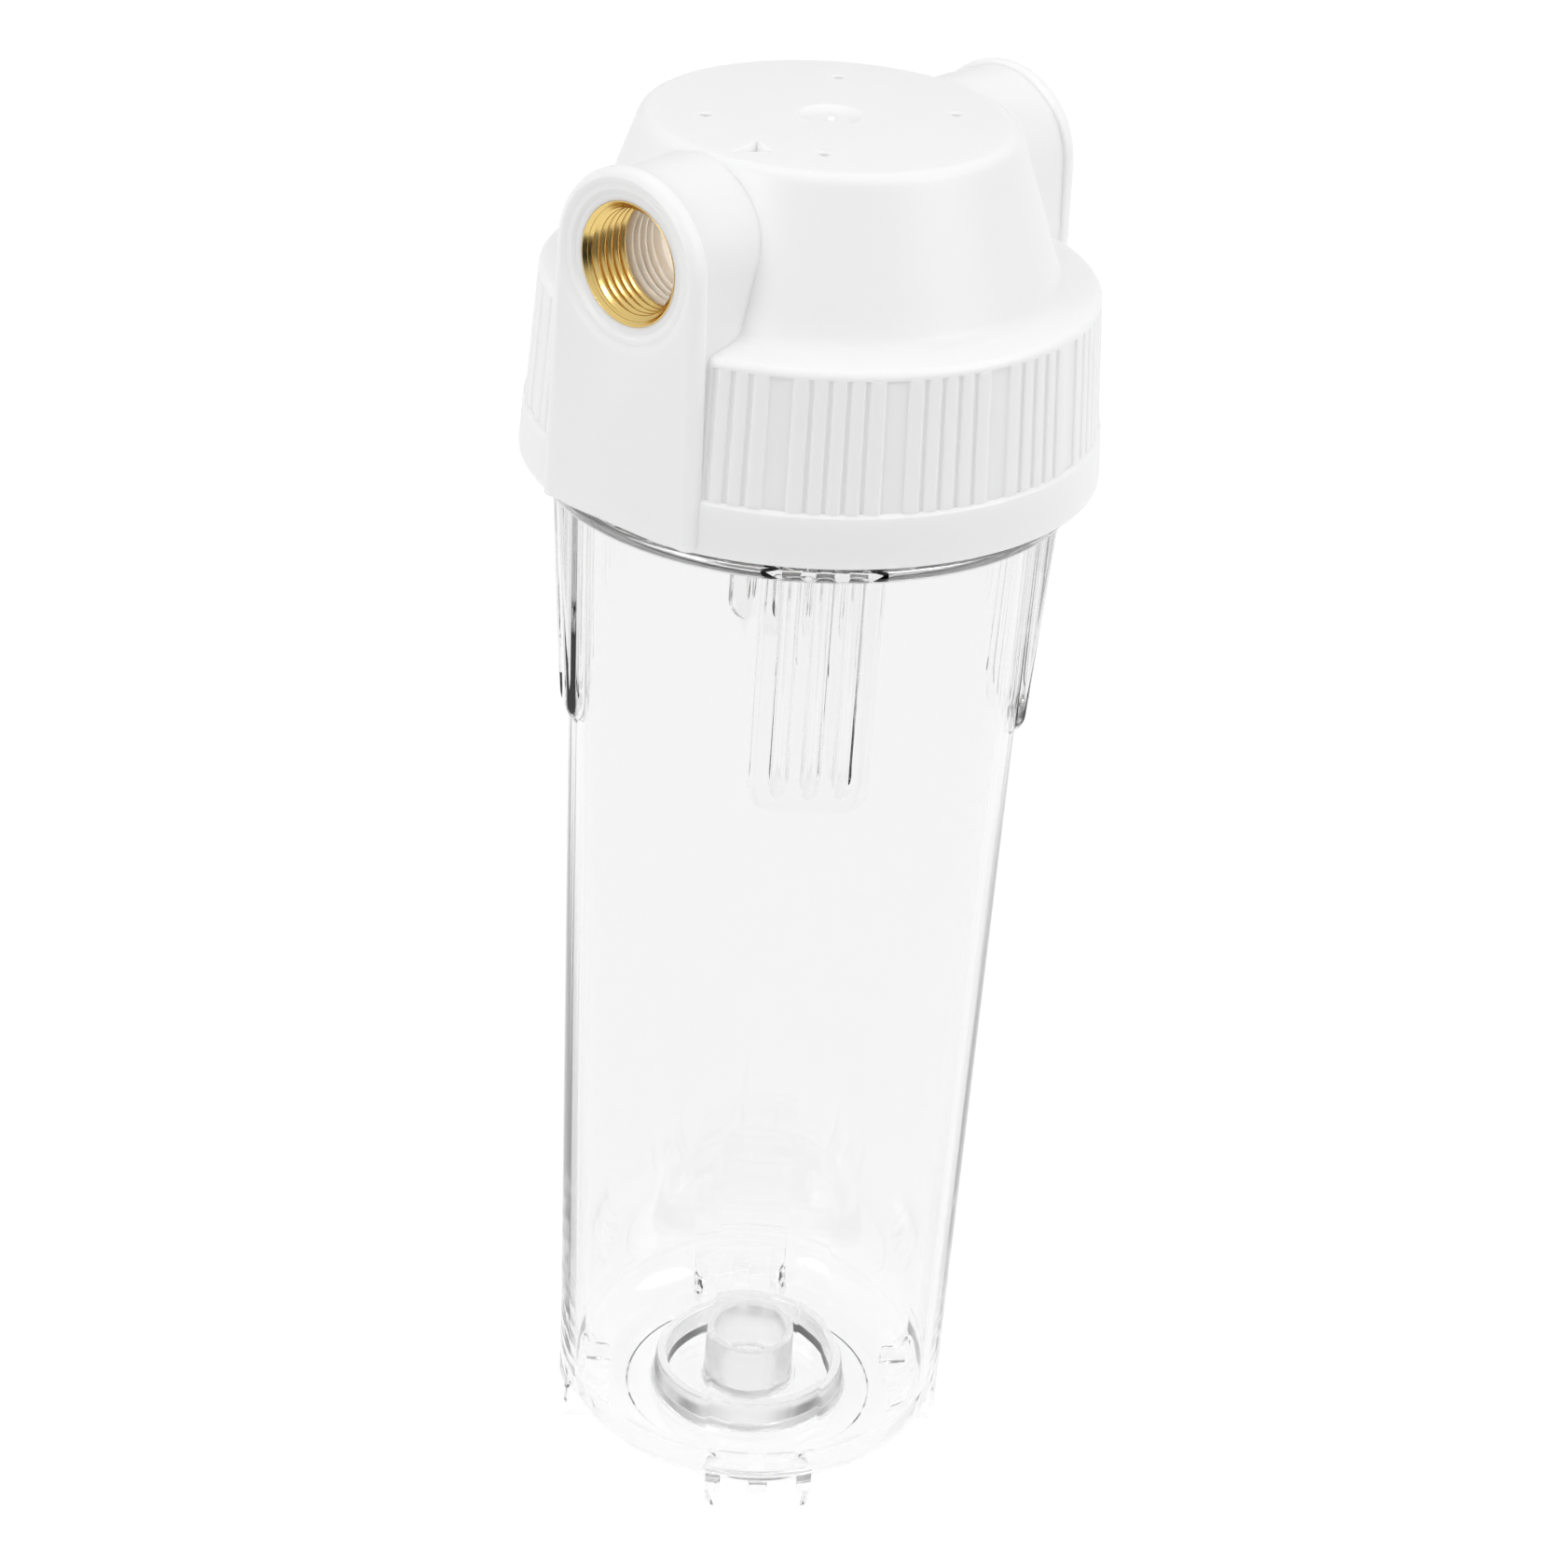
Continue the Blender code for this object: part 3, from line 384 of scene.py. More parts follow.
bowlSet = {
    "footDrop": 2.2 * mm,
    "atFeet": 43.6 * mm,          # outside radius, level with the feet
    "draft": 0.0196,
    "wall": 3.2 * mm,
    "floor": 2.8 * mm,
    "corner": 11.5 * mm,
    "cornerInside": 11.0 * mm,
    "recess": (28.4 * mm, 0.4 * mm),
    "flangeThick": 2.3 * mm,
    "neckLip": 2.4 * mm,
    "neckEdge": 0.6 * mm,
    "lowest": 20 * mm,            # the wall is plain from here under the pads down
    "grooveWidth": 4.3 * mm,
    "grooveDepth": 2.8 * mm,
    "seat": (21.4 * mm, 2.1 * mm, 6.9 * mm, 1.0 * mm),     # radius, wall, height, draft
    "post": (10.1 * mm, 1.7 * mm, 12.5 * mm, 0.4 * mm),
    "padLength": 54.1 * mm,
    "padHalf": 11.9 * mm,
    "padCorner": 5.5 * mm,
    "padProud": (2.1 * mm, 4.1 * mm),       # at the top of the ramp, at the flange
    "padRamp": 5.5 * mm,
    "padEdge": 0.7 * mm,
    "flute": 1.8 * mm,                      # radius
    "flutePitch": 6.3 * mm,
    "fluteRise": 2.6 * mm,
    "fluteRun": 7.0 * mm,                   # length of the ramp at its low end
    "fluteFloor": 0.4 * mm,
    "fluteEdge": 0.75 * mm,
    # heights of the rows by a pad's foot, in mm, close together where the shape turns
    "footRows": [-0.4, -0.15, 0, 0.12, 0.3, 0.55, 0.85, 1.2, 1.6, 2.05, 2.45, 2.65,
                 2.8, 3.0, 3.3, 3.7, 4.2, 4.7, 5.3, 6, 6.8, 7.6, 8.6, 10],
    "rows": 9,                              # from there to the flange
    "between": 12,                          # columns from a pad to half way to the next
    "footHalf": 11.8 * mm,
    "footHeight": 15.5 * mm,
    "footReach": 10.5 * mm,
    "footSkin": 1.7 * mm,
    "footSide": 3.4 * mm,
    "footRib": 4.1 * mm,
    "footCorner": 2.2 * mm,
    "footProud": 0.15 * mm,
}
threadSet = {
    "height": 2.0 * mm,
    "root": 3.0 * mm,
    "crest": 1.2 * mm,
    "anchor": 0.5 * mm,
    "lead": 2.1 * mm,             # plain neck under the thread
    "clearance": 0.4 * mm,
}


def bowlRadius(z):
    return bowlSet["atFeet"] + bowlSet["draft"] * z


def bowlProfile(values):
    neck, flangeTop = shared["neckRadius"], shared["flangeTop"]
    flangeLow = flangeTop - values["flangeThick"]
    grooveTop = shared["neckTop"] - values["neckLip"]
    grooveLow = grooveTop - values["grooveWidth"]
    groove = neck - values["grooveDepth"]
    drop, edge = values["footDrop"], values["neckEdge"]
    recess, depth = values["recess"]
    upper = filletPath([
        (0, shared["neckTop"], 0),
        (neck, shared["neckTop"], edge),
        (neck, grooveTop, 0.25 * mm),
        (groove, grooveTop, 0.3 * mm),
        (groove, grooveLow, 0.3 * mm),
        (neck, grooveLow, 0.25 * mm),
        (neck, flangeTop, edge),
        (shared["flangeRadius"], flangeTop, edge),
        (shared["flangeRadius"], flangeLow, edge),
        (bowlRadius(flangeLow), flangeLow, 0),
    ], 22)
    padLow = flangeLow - values["padLength"]
    pads = [padLow + step * mm for step in values["footRows"]]
    last, count = pads[-1], values["rows"]
    pads += [last + (flangeLow - last) * index / count for index in range(1, count)]
    walls = [Vector((bowlRadius(z), z)) for z in reversed(pads)]
    lower = filletPath([
        (bowlRadius(padLow - values["lowest"]), padLow - values["lowest"], 0),
        (bowlRadius(drop), drop, values["corner"]),
        (recess, drop, 0.2 * mm),
        (recess - depth, drop + depth, 0.2 * mm),
        (0, drop + depth, 0),
    ], 8)
    return upper + walls + lower


def padTop(z, low, high, values):
    # how proud the pad stands of the body at this height
    foot, flange = values["padProud"]
    share = (z - low) / values["padRamp"]
    ramp = 1 if share >= 1 else sin(max(0, share) * pi / 2) ** 1.15
    slope = foot + (flange - foot) * max(0, (z - low - values["padRamp"]) / (high - low - values["padRamp"]))
    return ramp * slope


def fluteSide(height, radius, centre, edge):
    # half of a flute's section from its floor to the land beside it, as (across, proud); ten points
    if radius < 0.05 * mm or centre - height > 0.98 * radius:
        return [(0.03 * mm * index, height) for index in range(10)]
    floor = centre - radius
    edge = min(edge, 0.3 * (height - floor))
    rise = min(1, max(-1, (centre - height + edge) / radius))
    stop = acos(rise) if height - edge < centre else pi / 2
    points = [(radius * sin(stop * step / 6), centre - radius * cos(stop * step / 6)) for step in range(7)]
    lip = acos(max(0, min(1, (centre - height) / radius))) if height < centre else pi / 2
    wall = radius * sin(lip)
    points[6] = (points[6][0], min(points[6][1], height - edge) if height < centre else height - edge)
    points.append((wall + 0.1 * edge, height - 0.45 * edge))
    points.append((wall + 0.45 * edge, height - 0.1 * edge))
    points.append((wall + edge, height))
    return points


def bowlSection(z, values):
    # one quarter of the outside at this height, centred on a pad: (across, proud) for each column
    high = shared["flangeTop"] - values["flangeThick"]
    low = high - values["padLength"]
    height = padTop(z, low, high, values)
    rise = max(0, z - low)
    corner = values["padCorner"]
    half = values["padHalf"] - corner + sqrt(max(0, corner ** 2 - max(0, corner - rise) ** 2))
    # a flute comes up to the surface on a soft ramp at its low end
    into = min(1, max(0, (z - low - values["fluteRise"]) / values["fluteRun"]))
    radius = values["flute"] * min(1, into * 3) ** 0.5
    lift = (height - values["fluteFloor"]) * (1 - into) ** 2 * (1 + 2 * into)
    centre = values["fluteFloor"] + lift + values["flute"]
    side = fluteSide(height, radius, centre, values["fluteEdge"])
    pitch = values["flutePitch"] * min(1, half / values["padHalf"] + 0.1)
    edge = min(values["padEdge"], 0.45 * height)
    foot = min(0.5 * mm, 0.4 * height)
    right = list(side)
    right.append((pitch / 2, height))
    right += [(pitch - across, proud) for across, proud in reversed(side)]
    right += [(pitch + across, proud) for across, proud in side[1:]]
    right += [
        (half - edge - 0.2 * mm, height),
        (half - edge, height - 0.02 * edge),
        (half - 0.6 * edge, height - 0.1 * edge),
        (half - 0.3 * edge, height - 0.3 * edge),
        (half - 0.1 * edge, height - 0.6 * edge),
        (half, height - edge),
        (half + 0.02 * mm, foot),
        (half + 0.15 * foot + 0.02 * mm, 0.5 * foot),
        (half + 0.5 * foot + 0.02 * mm, 0.15 * foot),
        (half + foot + 0.04 * mm, 0),
    ]
    left = [(-across, proud) for across, proud in reversed(right[1:])]
    return left + right


def bowlColumns(z, values):
    # the whole outside at this height: (angle, radius) for each column
    body = bowlRadius(z)
    section = []
    for across, proud in bowlSection(z, values):
        section.append((asin(across / (body + proud)), body + proud))
    last = section[-1][0]
    count = values["between"]
    gap = (pi / 2 - 2 * last) / (2 * count)
    section += [(last + gap * step, body) for step in range(1, 2 * count)]
    columns = []
    for quarter in range(4):
        middle = pi / 4 + quarter * pi / 2
        columns += [(middle + angle, radius) for angle, radius in section]
    return columns


def makeBowlOutside(values):
    points = bowlProfile(values)
    high = shared["flangeTop"] - values["flangeThick"]
    low = high - values["padLength"]
    plain = bowlColumns(low - 2 * mm, values)
    full = bowlColumns(high, values)
    count = len(plain)
    bm = spinPath(points, count)
    level = bm.verts.layers.int["level"]
    known = {}
    for vert in bm.verts:
        index = vert[level]
        point = points[index]
        if point.x < 1e-6:
            continue
        column = round(atan2(vert.co.y, vert.co.x) / (2 * pi / count)) % count
        onWall = low - 1 * mm < point.y < high - 0.01 * mm and abs(point.x - bowlRadius(point.y)) < 0.01 * mm
        if onWall:
            if index not in known:
                known[index] = bowlColumns(point.y, values)
            angle, radius = known[index][column]
        elif abs(point.y - high) < 0.01 * mm and abs(point.x - bowlRadius(high)) < 0.01 * mm:
            angle, radius = full[column]
        else:
            angle, radius = (full if point.y > high else plain)[column][0], point.x
        vert.co.x, vert.co.y = radius * cos(angle), radius * sin(angle)
    return meshObject("bowl", tidyShell(bm))


def bowlInside(values):
    floor = values["footDrop"] + values["floor"]
    seatRadius, seatWall, seatHeight, seatDraft = values["seat"]
    postRadius, postWall, postHeight, postDraft = values["post"]
    bore = shared["neckBore"]
    over = shared["neckTop"]
    high = shared["flangeTop"] - values["flangeThick"]
    return [
        (0, over + 3 * mm, 0),
        (bore + 0.7 * mm, over + 3 * mm, 0),
        (bore + 0.7 * mm, over, 0),
        (bore, over - 0.7 * mm, 0.3 * mm),
        (bore, high, 0),
        (bowlRadius(floor) - values["wall"], floor, values["cornerInside"]),
        (seatRadius + seatDraft, floor, 0.9 * mm),
        (seatRadius, floor + seatHeight, 0.7 * mm),
        (seatRadius - seatWall, floor + seatHeight, 0.7 * mm),
        (seatRadius - seatWall - seatDraft / 2, floor, 0.6 * mm),
        (postRadius + postDraft, floor, 1.0 * mm),
        (postRadius, floor + postHeight, 0.5 * mm),
        (postRadius - postWall, floor + postHeight, 0.5 * mm),
        (postRadius - postWall - postDraft, floor + 0.6 * mm, 0.4 * mm),
        (0, floor + 0.6 * mm, 0),
    ]


def softBox(size, centre, edges, radius, segments=4):
    # a box with the edges that edges(edge) picks rounded
    bm = bmesh.new()
    bmesh.ops.create_cube(bm, size=1)
    bmesh.ops.scale(bm, vec=size, verts=bm.verts)
    bmesh.ops.translate(bm, vec=centre, verts=bm.verts)
    chosen = [edge for edge in bm.edges if edges(edge)]
    bmesh.ops.bevel(bm, geom=chosen, offset=radius, offset_type="OFFSET", affect="EDGES",
                    segments=segments, profile=0.5, material=-1, clamp_overlap=True)
    return tidyShell(bm)


def alongX(edge):
    first, second = edge.verts
    return abs(first.co.x - second.co.x) > 0.5 * edge.calc_length() + 1e-6


def makeFeet(values):
    # four blocks under the rounded corner, hollow behind a thin skin
    outer = values["atFeet"] + values["footProud"]
    reach, height, half = values["footReach"], values["footHeight"], values["footHalf"]
    skin, side, rib = values["footSkin"], values["footSide"], values["footRib"]
    foot = None
    for quarter in range(4):
        block = softBox((reach + 4 * mm, 2 * half, height), (outer - reach / 2 + 2 * mm, 0, height / 2),
                        lambda edge: alongX(edge) and edge.verts[0].co.z < height / 2, values["footCorner"], 6)
        thing = meshObject("foot", block, aboutZ(45 + 90 * quarter))
        foot = thing if foot is None else joined(foot, thing)
    skinShape = turned("foot_skin", [
        (0, height + 2 * mm, 0),
        (bowlRadius(height) + values["footProud"], height + 2 * mm, 0),
        (outer, -2 * mm, 0),
        (0, -2 * mm, 0),
    ], 384)
    combine(foot, skinShape, "INTERSECT")
    width = half - side - rib / 2
    pockets = None
    for quarter in range(4):
        for sign in (-1, 1):
            across, up = sign * (rib / 2 + width / 2), (height - skin) / 2 - 1 * mm
            centre = (outer - skin - reach / 2 - 0.6 * mm, across, up)
            pocket = softBox((reach + 0.4 * mm, width, height - skin + 2 * mm), centre,
                             lambda edge: min(vert.co.z for vert in edge.verts) > height / 2, 0.6 * mm, 3)
            thing = meshObject("pocket", pocket, aboutZ(45 + 90 * quarter))
            pockets = thing if pockets is None else joined(pockets, thing)
    combine(foot, pockets, "DIFFERENCE")
    return foot


def joined(first, second):
    bm = bmesh.new()
    bm.from_mesh(first.data)
    bm.from_mesh(second.data)
    bm.to_mesh(first.data)
    bm.free()
    bpy.data.objects.remove(second)
    return first


def threadSection(root, crest, values, turnOut):
    # ridge section from inside its wall to its crest, with rounded crest corners
    slope = (values["root"] - values["crest"]) / 2 / values["height"]
    anchor = root - turnOut * values["anchor"]
    wide = values["root"] / 2 + slope * values["anchor"]
    tip = values["crest"] / 2
    shoulder = crest - turnOut * 0.25 * mm
    return [
        (anchor, -wide),
        (shoulder, -tip - 0.1 * mm),
        (crest, -tip + 0.2 * mm),
        (crest, tip - 0.2 * mm),
        (shoulder, tip + 0.1 * mm),
        (anchor, wide),
    ]


def makeNeckThread(values):
    neck = shared["neckRadius"]
    start = shared["flangeTop"] + values["lead"] + values["root"] / 2
    section = threadSection(neck, neck + values["height"], values, 1)
    return helixRidge("neck_thread", section, shared["threadPitch"], shared["threadTurns"], start, 120)


def clearPlastic():
    # styrene acrylonitrile, injection moulded and clear: glassy walls with grey edges, and a floor that is satin
    # inside the ring, where the tool was eroded
    material, tree = newMaterial("clear_san_moulded")
    place = addNode(tree, "TexCoord")
    split = addNode(tree, "SeparateXYZ", None, {0: place.outputs["Object"]})
    flat = addNode(tree, "CombineXYZ", None, {0: split, 1: split.outputs[1]})
    reach = addNode(tree, "VectorMath", {"operation": "LENGTH"}, {0: flat})
    inner = addNode(tree, "MapRange", {"From Min": 24.5 * mm, "From Max": 23.2 * mm},
                    {"Value": reach.outputs["Value"]})
    above = addNode(tree, "MapRange", {"From Min": 5.2 * mm, "From Max": 5.6 * mm},
                    {"Value": split.outputs[2]})
    milk = addNode(tree, "Math", {"operation": "MULTIPLY"}, {0: inner, 1: above})
    rough = addNode(tree, "MapRange", {"To Min": 0.02, "To Max": 0.22}, {"Value": milk})
    # painted shade: the walls are tinted a little grey, while the floor is left full white as if lit from behind
    wall = addNode(tree, "MapRange", {"From Min": 10 * mm, "From Max": 28 * mm},
                   {"Value": split.outputs["Z"]})
    paintedWallShade = addNode(tree, "Mix", {
        "data_type": "RGBA", 6: (1, 1, 1, 1), 7: (*hexLinear("#F9F9F9"), 1),
    }, {0: wall})
    shell = addNode(tree, "BsdfPrincipled", {
        "IOR": 1.57, "Transmission Weight": 1.0,
    }, {"Base Color": paintedWallShade.outputs[2], "Roughness": rough})
    through = addNode(tree, "BsdfTransparent", {"Color": (0.97, 0.97, 0.975, 1)})
    path = addNode(tree, "LightPath")
    mix = addNode(tree, "MixShader", None,
                  {0: path.outputs["Is Shadow Ray"], 1: shell, 2: through})
    tint = addNode(tree, "VolumeAbsorption", {"Color": (*hexLinear("#DCDCDC"), 1), "Density": 20.0})
    addNode(tree, "OutputMaterial", None,
            {"Surface": mix, "Volume": tint})
    return material


def makeBowl():
    bowl = makeBowlOutside(bowlSet)
    combine(bowl, makeFeet(bowlSet), "UNION")
    combine(bowl, turned("bowl_hollow", bowlInside(bowlSet), 256, 8), "DIFFERENCE")
    combine(bowl, makeNeckThread(threadSet), "UNION")
    finishPiece(bowl, clearPlastic(), "bowl", ["sump"])


makeBowl()


# seal ring

def makeSeal():
    # nitrile rubber, moulded: matt black
    material, tree = newMaterial("nitrile_moulded")
    grain = addNode(tree, "TexNoise", {"Scale": 1800.0, "Detail": 2.0})
    bump = addNode(tree, "Bump", {"Strength": 0.15, "Distance": 0.05 * mm}, {"Height": grain})
    rubber = addNode(tree, "BsdfPrincipled", {
        "Base Color": (*hexLinear("#1C1C1C"), 1), "Roughness": 0.55,
    }, {"Normal": bump})
    addNode(tree, "OutputMaterial", None, {"Surface": rubber})
    radius = (sealHigh.z - sealLow.z) / 2
    centre = sealHigh.x - radius
    height = (sealHigh.z + sealLow.z) / 2
    sides = 20
    turns = [2 * pi * index / sides for index in range(sides)]
    ring = [Vector((centre + radius * cos(turn), height - radius * sin(turn))) for turn in turns]
    seal = meshObject("seal_ring", tidyShell(spinPath(ring, 160, closed=True)))
    finishPiece(seal, material, "seal", ["sump_o_ring"])


makeSeal()


# head: one white moulding

headSet = {
    "bandHeight": 10.3 * mm,
    "bandStep": 0.5 * mm,
    "skirtDraft": 0.068,
    "ribTop": 274.0 * mm,
    "shoulderEdge": 1.6 * mm,
    "domeLow": 277.4 * mm,
    "domeInset": 8.3 * mm,
    "domeDraft": 0.355,
    "topEdge": 2.8 * mm,
    "groups": 16,
    "ribDepth": 0.45 * mm,
    "dish": (6.4 * mm, 1.1 * mm),
    "nib": (0.8 * mm, 0.6 * mm),
    "bracket": (19.7 * mm, 15.3 * mm),
    "pilot": 1.15 * mm,
    "pilotMouth": 0.3 * mm,
    "pilotDepth": 11 * mm,
    "bracketBoss": (4.2 * mm, 3 * mm, 13.5 * mm),      # radius, and from where to where under the top
    "pit": [(-32.6, -3.7, 0), (-26.7, -8.4, 0), (-23.6, -1.8, 0), (-27.6, -5.0, -5.0)],    # mm, from the top
    "portRadius": 18.4 * mm,
    "bossRadius": 17.5 * mm,
    "collar": 3.7 * mm,
    "collarBack": 0.8 * mm,
    "plateFlare": 1.6 * mm,
    "plateLift": 0.5 * mm,
    "plateEdge": 2.2 * mm,
    "portInner": 18.0 * mm,
    "wall": 4.8 * mm,
    "topWall": 5.5 * mm,
    "nozzle": (12.0 * mm, 12.4 * mm, 19.3 * mm),       # the cartridge's end sits between this and the hub
    "knife": (20.4 * mm, 21.4 * mm),
    "hub": (22.4 * mm, 13.5 * mm),                     # outside, and the neck above it
    "duct": (12.9 * mm, 43 * mm),                      # radius and length
    "well": (9.6 * mm, 60 * mm),
}
# half of one rib group, in degrees from its middle: (angle, share of the rib depth, share of the crown)
ribSection = [(0, 0, 1), (0.85, 0, 0.1), (1.02, 0.04, 0), (1.16, 0.25, 0), (1.4, 0.9, 0), (1.52, 1, 0),
              (2.08, 1, 0), (2.2, 0.9, 0), (2.44, 0.25, 0), (2.58, 0.04, 0), (2.75, 0, 0.1), (3.6, 0, 1),
              (4.45, 0, 0.1), (4.62, 0.04, 0), (4.76, 0.25, 0), (5.0, 0.9, 0), (5.12, 1, 0),
              (5.68, 1, 0), (5.8, 0.9, 0), (6.04, 0.25, 0), (6.18, 0.04, 0), (6.35, 0, 0.1), (7.5, 0, 1),
              (8.5, 0, 0.1), (8.7, 0.05, 0), (8.84, 0.25, 0), (9.08, 0.9, 0), (9.22, 1, 0), (11.25, 1, 0)]


def skirtRadius(z):
    return shared["rimRadius"] - headSet["skirtDraft"] * (z - shared["rim"])


def headProfile(values):
    bandTop = shared["rim"] + values["bandHeight"]
    ribLow = bandTop + values["bandStep"]
    ribTop = values["ribTop"]
    top = shared["top"]
    domeFoot = skirtRadius(ribTop) - values["bandStep"] - values["domeInset"]
    topRadius = domeFoot - values["domeDraft"] * (top - values["domeLow"])
    return filletPath([
        (0, top, 0),
        (topRadius, top, values["topEdge"]),
        (domeFoot, values["domeLow"], 3.6 * mm),
        (skirtRadius(ribTop) - values["bandStep"], ribTop + values["shoulderEdge"], values["shoulderEdge"]),
        (skirtRadius(ribTop) - values["bandStep"], ribTop - 0.05 * mm, 0),
        (skirtRadius(ribTop) - values["bandStep"], ribTop - 0.12 * mm, 0),
        (skirtRadius(ribTop) - values["bandStep"], ribTop - 0.5 * mm, 0),
        (skirtRadius(ribLow) - values["bandStep"], ribLow + 0.5 * mm, 0),
        (skirtRadius(ribLow) - values["bandStep"], ribLow + 0.12 * mm, 0),
        (skirtRadius(ribLow) - values["bandStep"], ribLow, 0),
        (skirtRadius(bandTop), bandTop, 0.15 * mm),
        (shared["rimRadius"], shared["rim"], 0.5 * mm),
        (0, shared["rim"], 0),
    ], 12)


def makeHeadOutside(values):
    points = headProfile(values)
    group = [(-angle, depth, crown) for angle, depth, crown in reversed(ribSection[1:-1])] + ribSection
    columns = []
    for index in range(values["groups"]):
        start = index * 360 / values["groups"]
        columns += [(radians(start + angle), depth, crown) for angle, depth, crown in group]
    count = len(columns)
    ribLow = shared["rim"] + values["bandHeight"] + values["bandStep"]
    bm = spinPath(points, count)
    level = bm.verts.layers.int["level"]
    for vert in bm.verts:
        point = points[vert[level]]
        if point.x < 1e-6:
            continue
        angle, depth, crown = columns[round(atan2(vert.co.y, vert.co.x) / (2 * pi / count)) % count]
        radius = point.x
        if ribLow + 0.06 * mm < point.y < values["ribTop"] - 0.06 * mm:
            radius += 0.07 * mm * crown - values["ribDepth"] * depth
        vert.co.x, vert.co.y = radius * cos(angle), radius * sin(angle)
    return meshObject("head", tidyShell(bm))


def portSheet(radius, near, far, lift, values):
    # an arch over the bore with straight flared sides down to its foot, from near to far along X
    axis = shared["portAxis"]
    foot = shared["rim"] + values["plateLift"] + lift
    half = values["portRadius"] + values["plateFlare"]
    bm = bmesh.new()
    start = bm.verts.new((near, radius, axis))
    made = bmesh.ops.spin(bm, geom=[start], cent=(0, 0, axis), axis=(1, 0, 0), angle=pi, steps=64,
                          use_duplicate=False)
    last = made["geom_last"][0]
    low = [bm.verts.new((near, sign * half, foot)) for sign in (-1, 1)]
    bm.edges.new((last, low[0]))
    bm.edges.new(low)
    bm.edges.new((low[1], start))
    bmesh.ops.contextual_create(bm, geom=bm.edges[:])
    grown = bmesh.ops.extrude_face_region(bm, geom=bm.faces[:])
    moved = [item for item in grown["geom"] if isinstance(item, bmesh.types.BMVert)]
    bmesh.ops.translate(bm, vec=(far - near, 0, 0), verts=moved)
    bmesh.ops.recalc_face_normals(bm, faces=bm.faces)
    return bm


def roundedAt(bm, level, above, radius, segments):
    # rounds the outline that lies in the plane at this X, except its foot
    rim = [edge for edge in bm.edges
           if all(abs(vert.co.x - level) < 1e-6 for vert in edge.verts)
           and not all(vert.co.z < above + 1e-6 for vert in edge.verts)]
    bmesh.ops.bevel(bm, geom=rim, offset=radius, offset_type="OFFSET", affect="EDGES",
                    segments=segments, profile=0.5, material=-1, clamp_overlap=True)


def portBlocks(side, values):
    # the arched boss, and the collar whose face runs down as a flat plate
    face, back = shared["face"], shared["face"] - values["collar"]
    foot = shared["rim"] + values["plateLift"]
    turn = aboutZ(0 if side > 0 else 180)
    boss = portSheet(values["bossRadius"], values["portInner"], face - values["collar"] / 2, 0.9 * mm, values)
    collar = portSheet(values["portRadius"], back, face, 0, values)
    roundedAt(collar, face, foot, values["plateEdge"], 6)
    roundedAt(collar, back, foot, values["collarBack"], 4)
    return meshObject("port_boss", tidyShell(boss), turn), meshObject("port_collar", tidyShell(collar), turn)


def plateFlat(side, values):
    half = values["portRadius"] + values["plateFlare"] / 2
    bm = bmesh.new()
    bmesh.ops.create_cube(bm, size=1)
    bmesh.ops.scale(bm, vec=(8 * mm, 2 * half, 60 * mm), verts=bm.verts)
    bmesh.ops.translate(bm, vec=(shared["face"] + 3.8 * mm, 0, shared["rim"] + 15 * mm), verts=bm.verts)
    return meshObject("plate_flat", bm, aboutZ(0 if side > 0 else 180))


def headInside(values):
    rim, neckTop = shared["rim"], shared["neckTop"]
    root = shared["neckRadius"] + threadSet["height"] + threadSet["clearance"]
    bore = shared["neckRadius"] + 0.6 * mm
    stop = neckTop + 0.3 * mm
    threadTop = shared["flangeTop"] + 20.2 * mm
    top = shared["top"] - values["topWall"]
    nozzleLow, nozzle, nozzleEdge = values["nozzle"]
    knifeInner, knifeOuter = values["knife"]
    hub, hubNeck = values["hub"]
    seat = neckTop - 3.6 * mm
    plate = seat + 3.45 * mm
    domeFoot = skirtRadius(values["ribTop"]) - values["bandStep"] - values["domeInset"]
    inset = values["wall"]
    return [
        (0, plate - 8.5 * mm, 0),
        (nozzleLow, plate - 8.5 * mm, 0.5 * mm),
        (nozzle, plate, 0.5 * mm),
        (nozzleEdge, plate, 0.5 * mm),
        (knifeInner, seat, 0.2 * mm),
        (knifeOuter, seat, 0.3 * mm),
        (hub, plate, 0.5 * mm),
        (hub, plate + 3.5 * mm, 0.5 * mm),
        (hubNeck, plate + 5.3 * mm, 0.6 * mm),
        (hubNeck, top, 1.5 * mm),
        (domeFoot - values["domeDraft"] * (top - values["domeLow"]) - inset, top, 2.5 * mm),
        (domeFoot - inset, values["domeLow"] - inset, 2 * mm),
        (shared["neckBore"], stop + 3.5 * mm, 1 * mm),
        (shared["neckBore"], stop, 0.3 * mm),
        (bore, stop, 0.3 * mm),
        (bore, threadTop + 1.0 * mm, 0.3 * mm),
        (root, threadTop, 0.3 * mm),
        (root, rim + 1.0 * mm, 0),
        (root + 1.0 * mm, rim, 0),
        (root + 1.0 * mm, rim - 5 * mm, 0),
        (0, rim - 5 * mm, 0),
    ]


def topPit(values):
    # the small three-sided dent in the flat top, above the inlet
    bm = bmesh.new()
    corners = [bm.verts.new((x * mm, y * mm, shared["top"] + z * mm)) for x, y, z in values["pit"]]
    bmesh.ops.convex_hull(bm, input=corners)
    # grown from its lowest corner, so that it stands out of the surface
    bmesh.ops.scale(bm, vec=(1.25, 1.25, 1.25), verts=bm.verts, space=Matrix.Translation(-corners[3].co))
    bmesh.ops.recalc_face_normals(bm, faces=bm.faces)
    return meshObject("pit", bm)


def upright(name, radius, low, high, steps, place=(0, 0)):
    bm = bmesh.new()
    bmesh.ops.create_cone(bm, cap_ends=True, segments=steps, radius1=radius, radius2=radius, depth=high - low,
                          matrix=Matrix.Translation((place[0], place[1], (low + high) / 2)))
    return meshObject(name, bm)


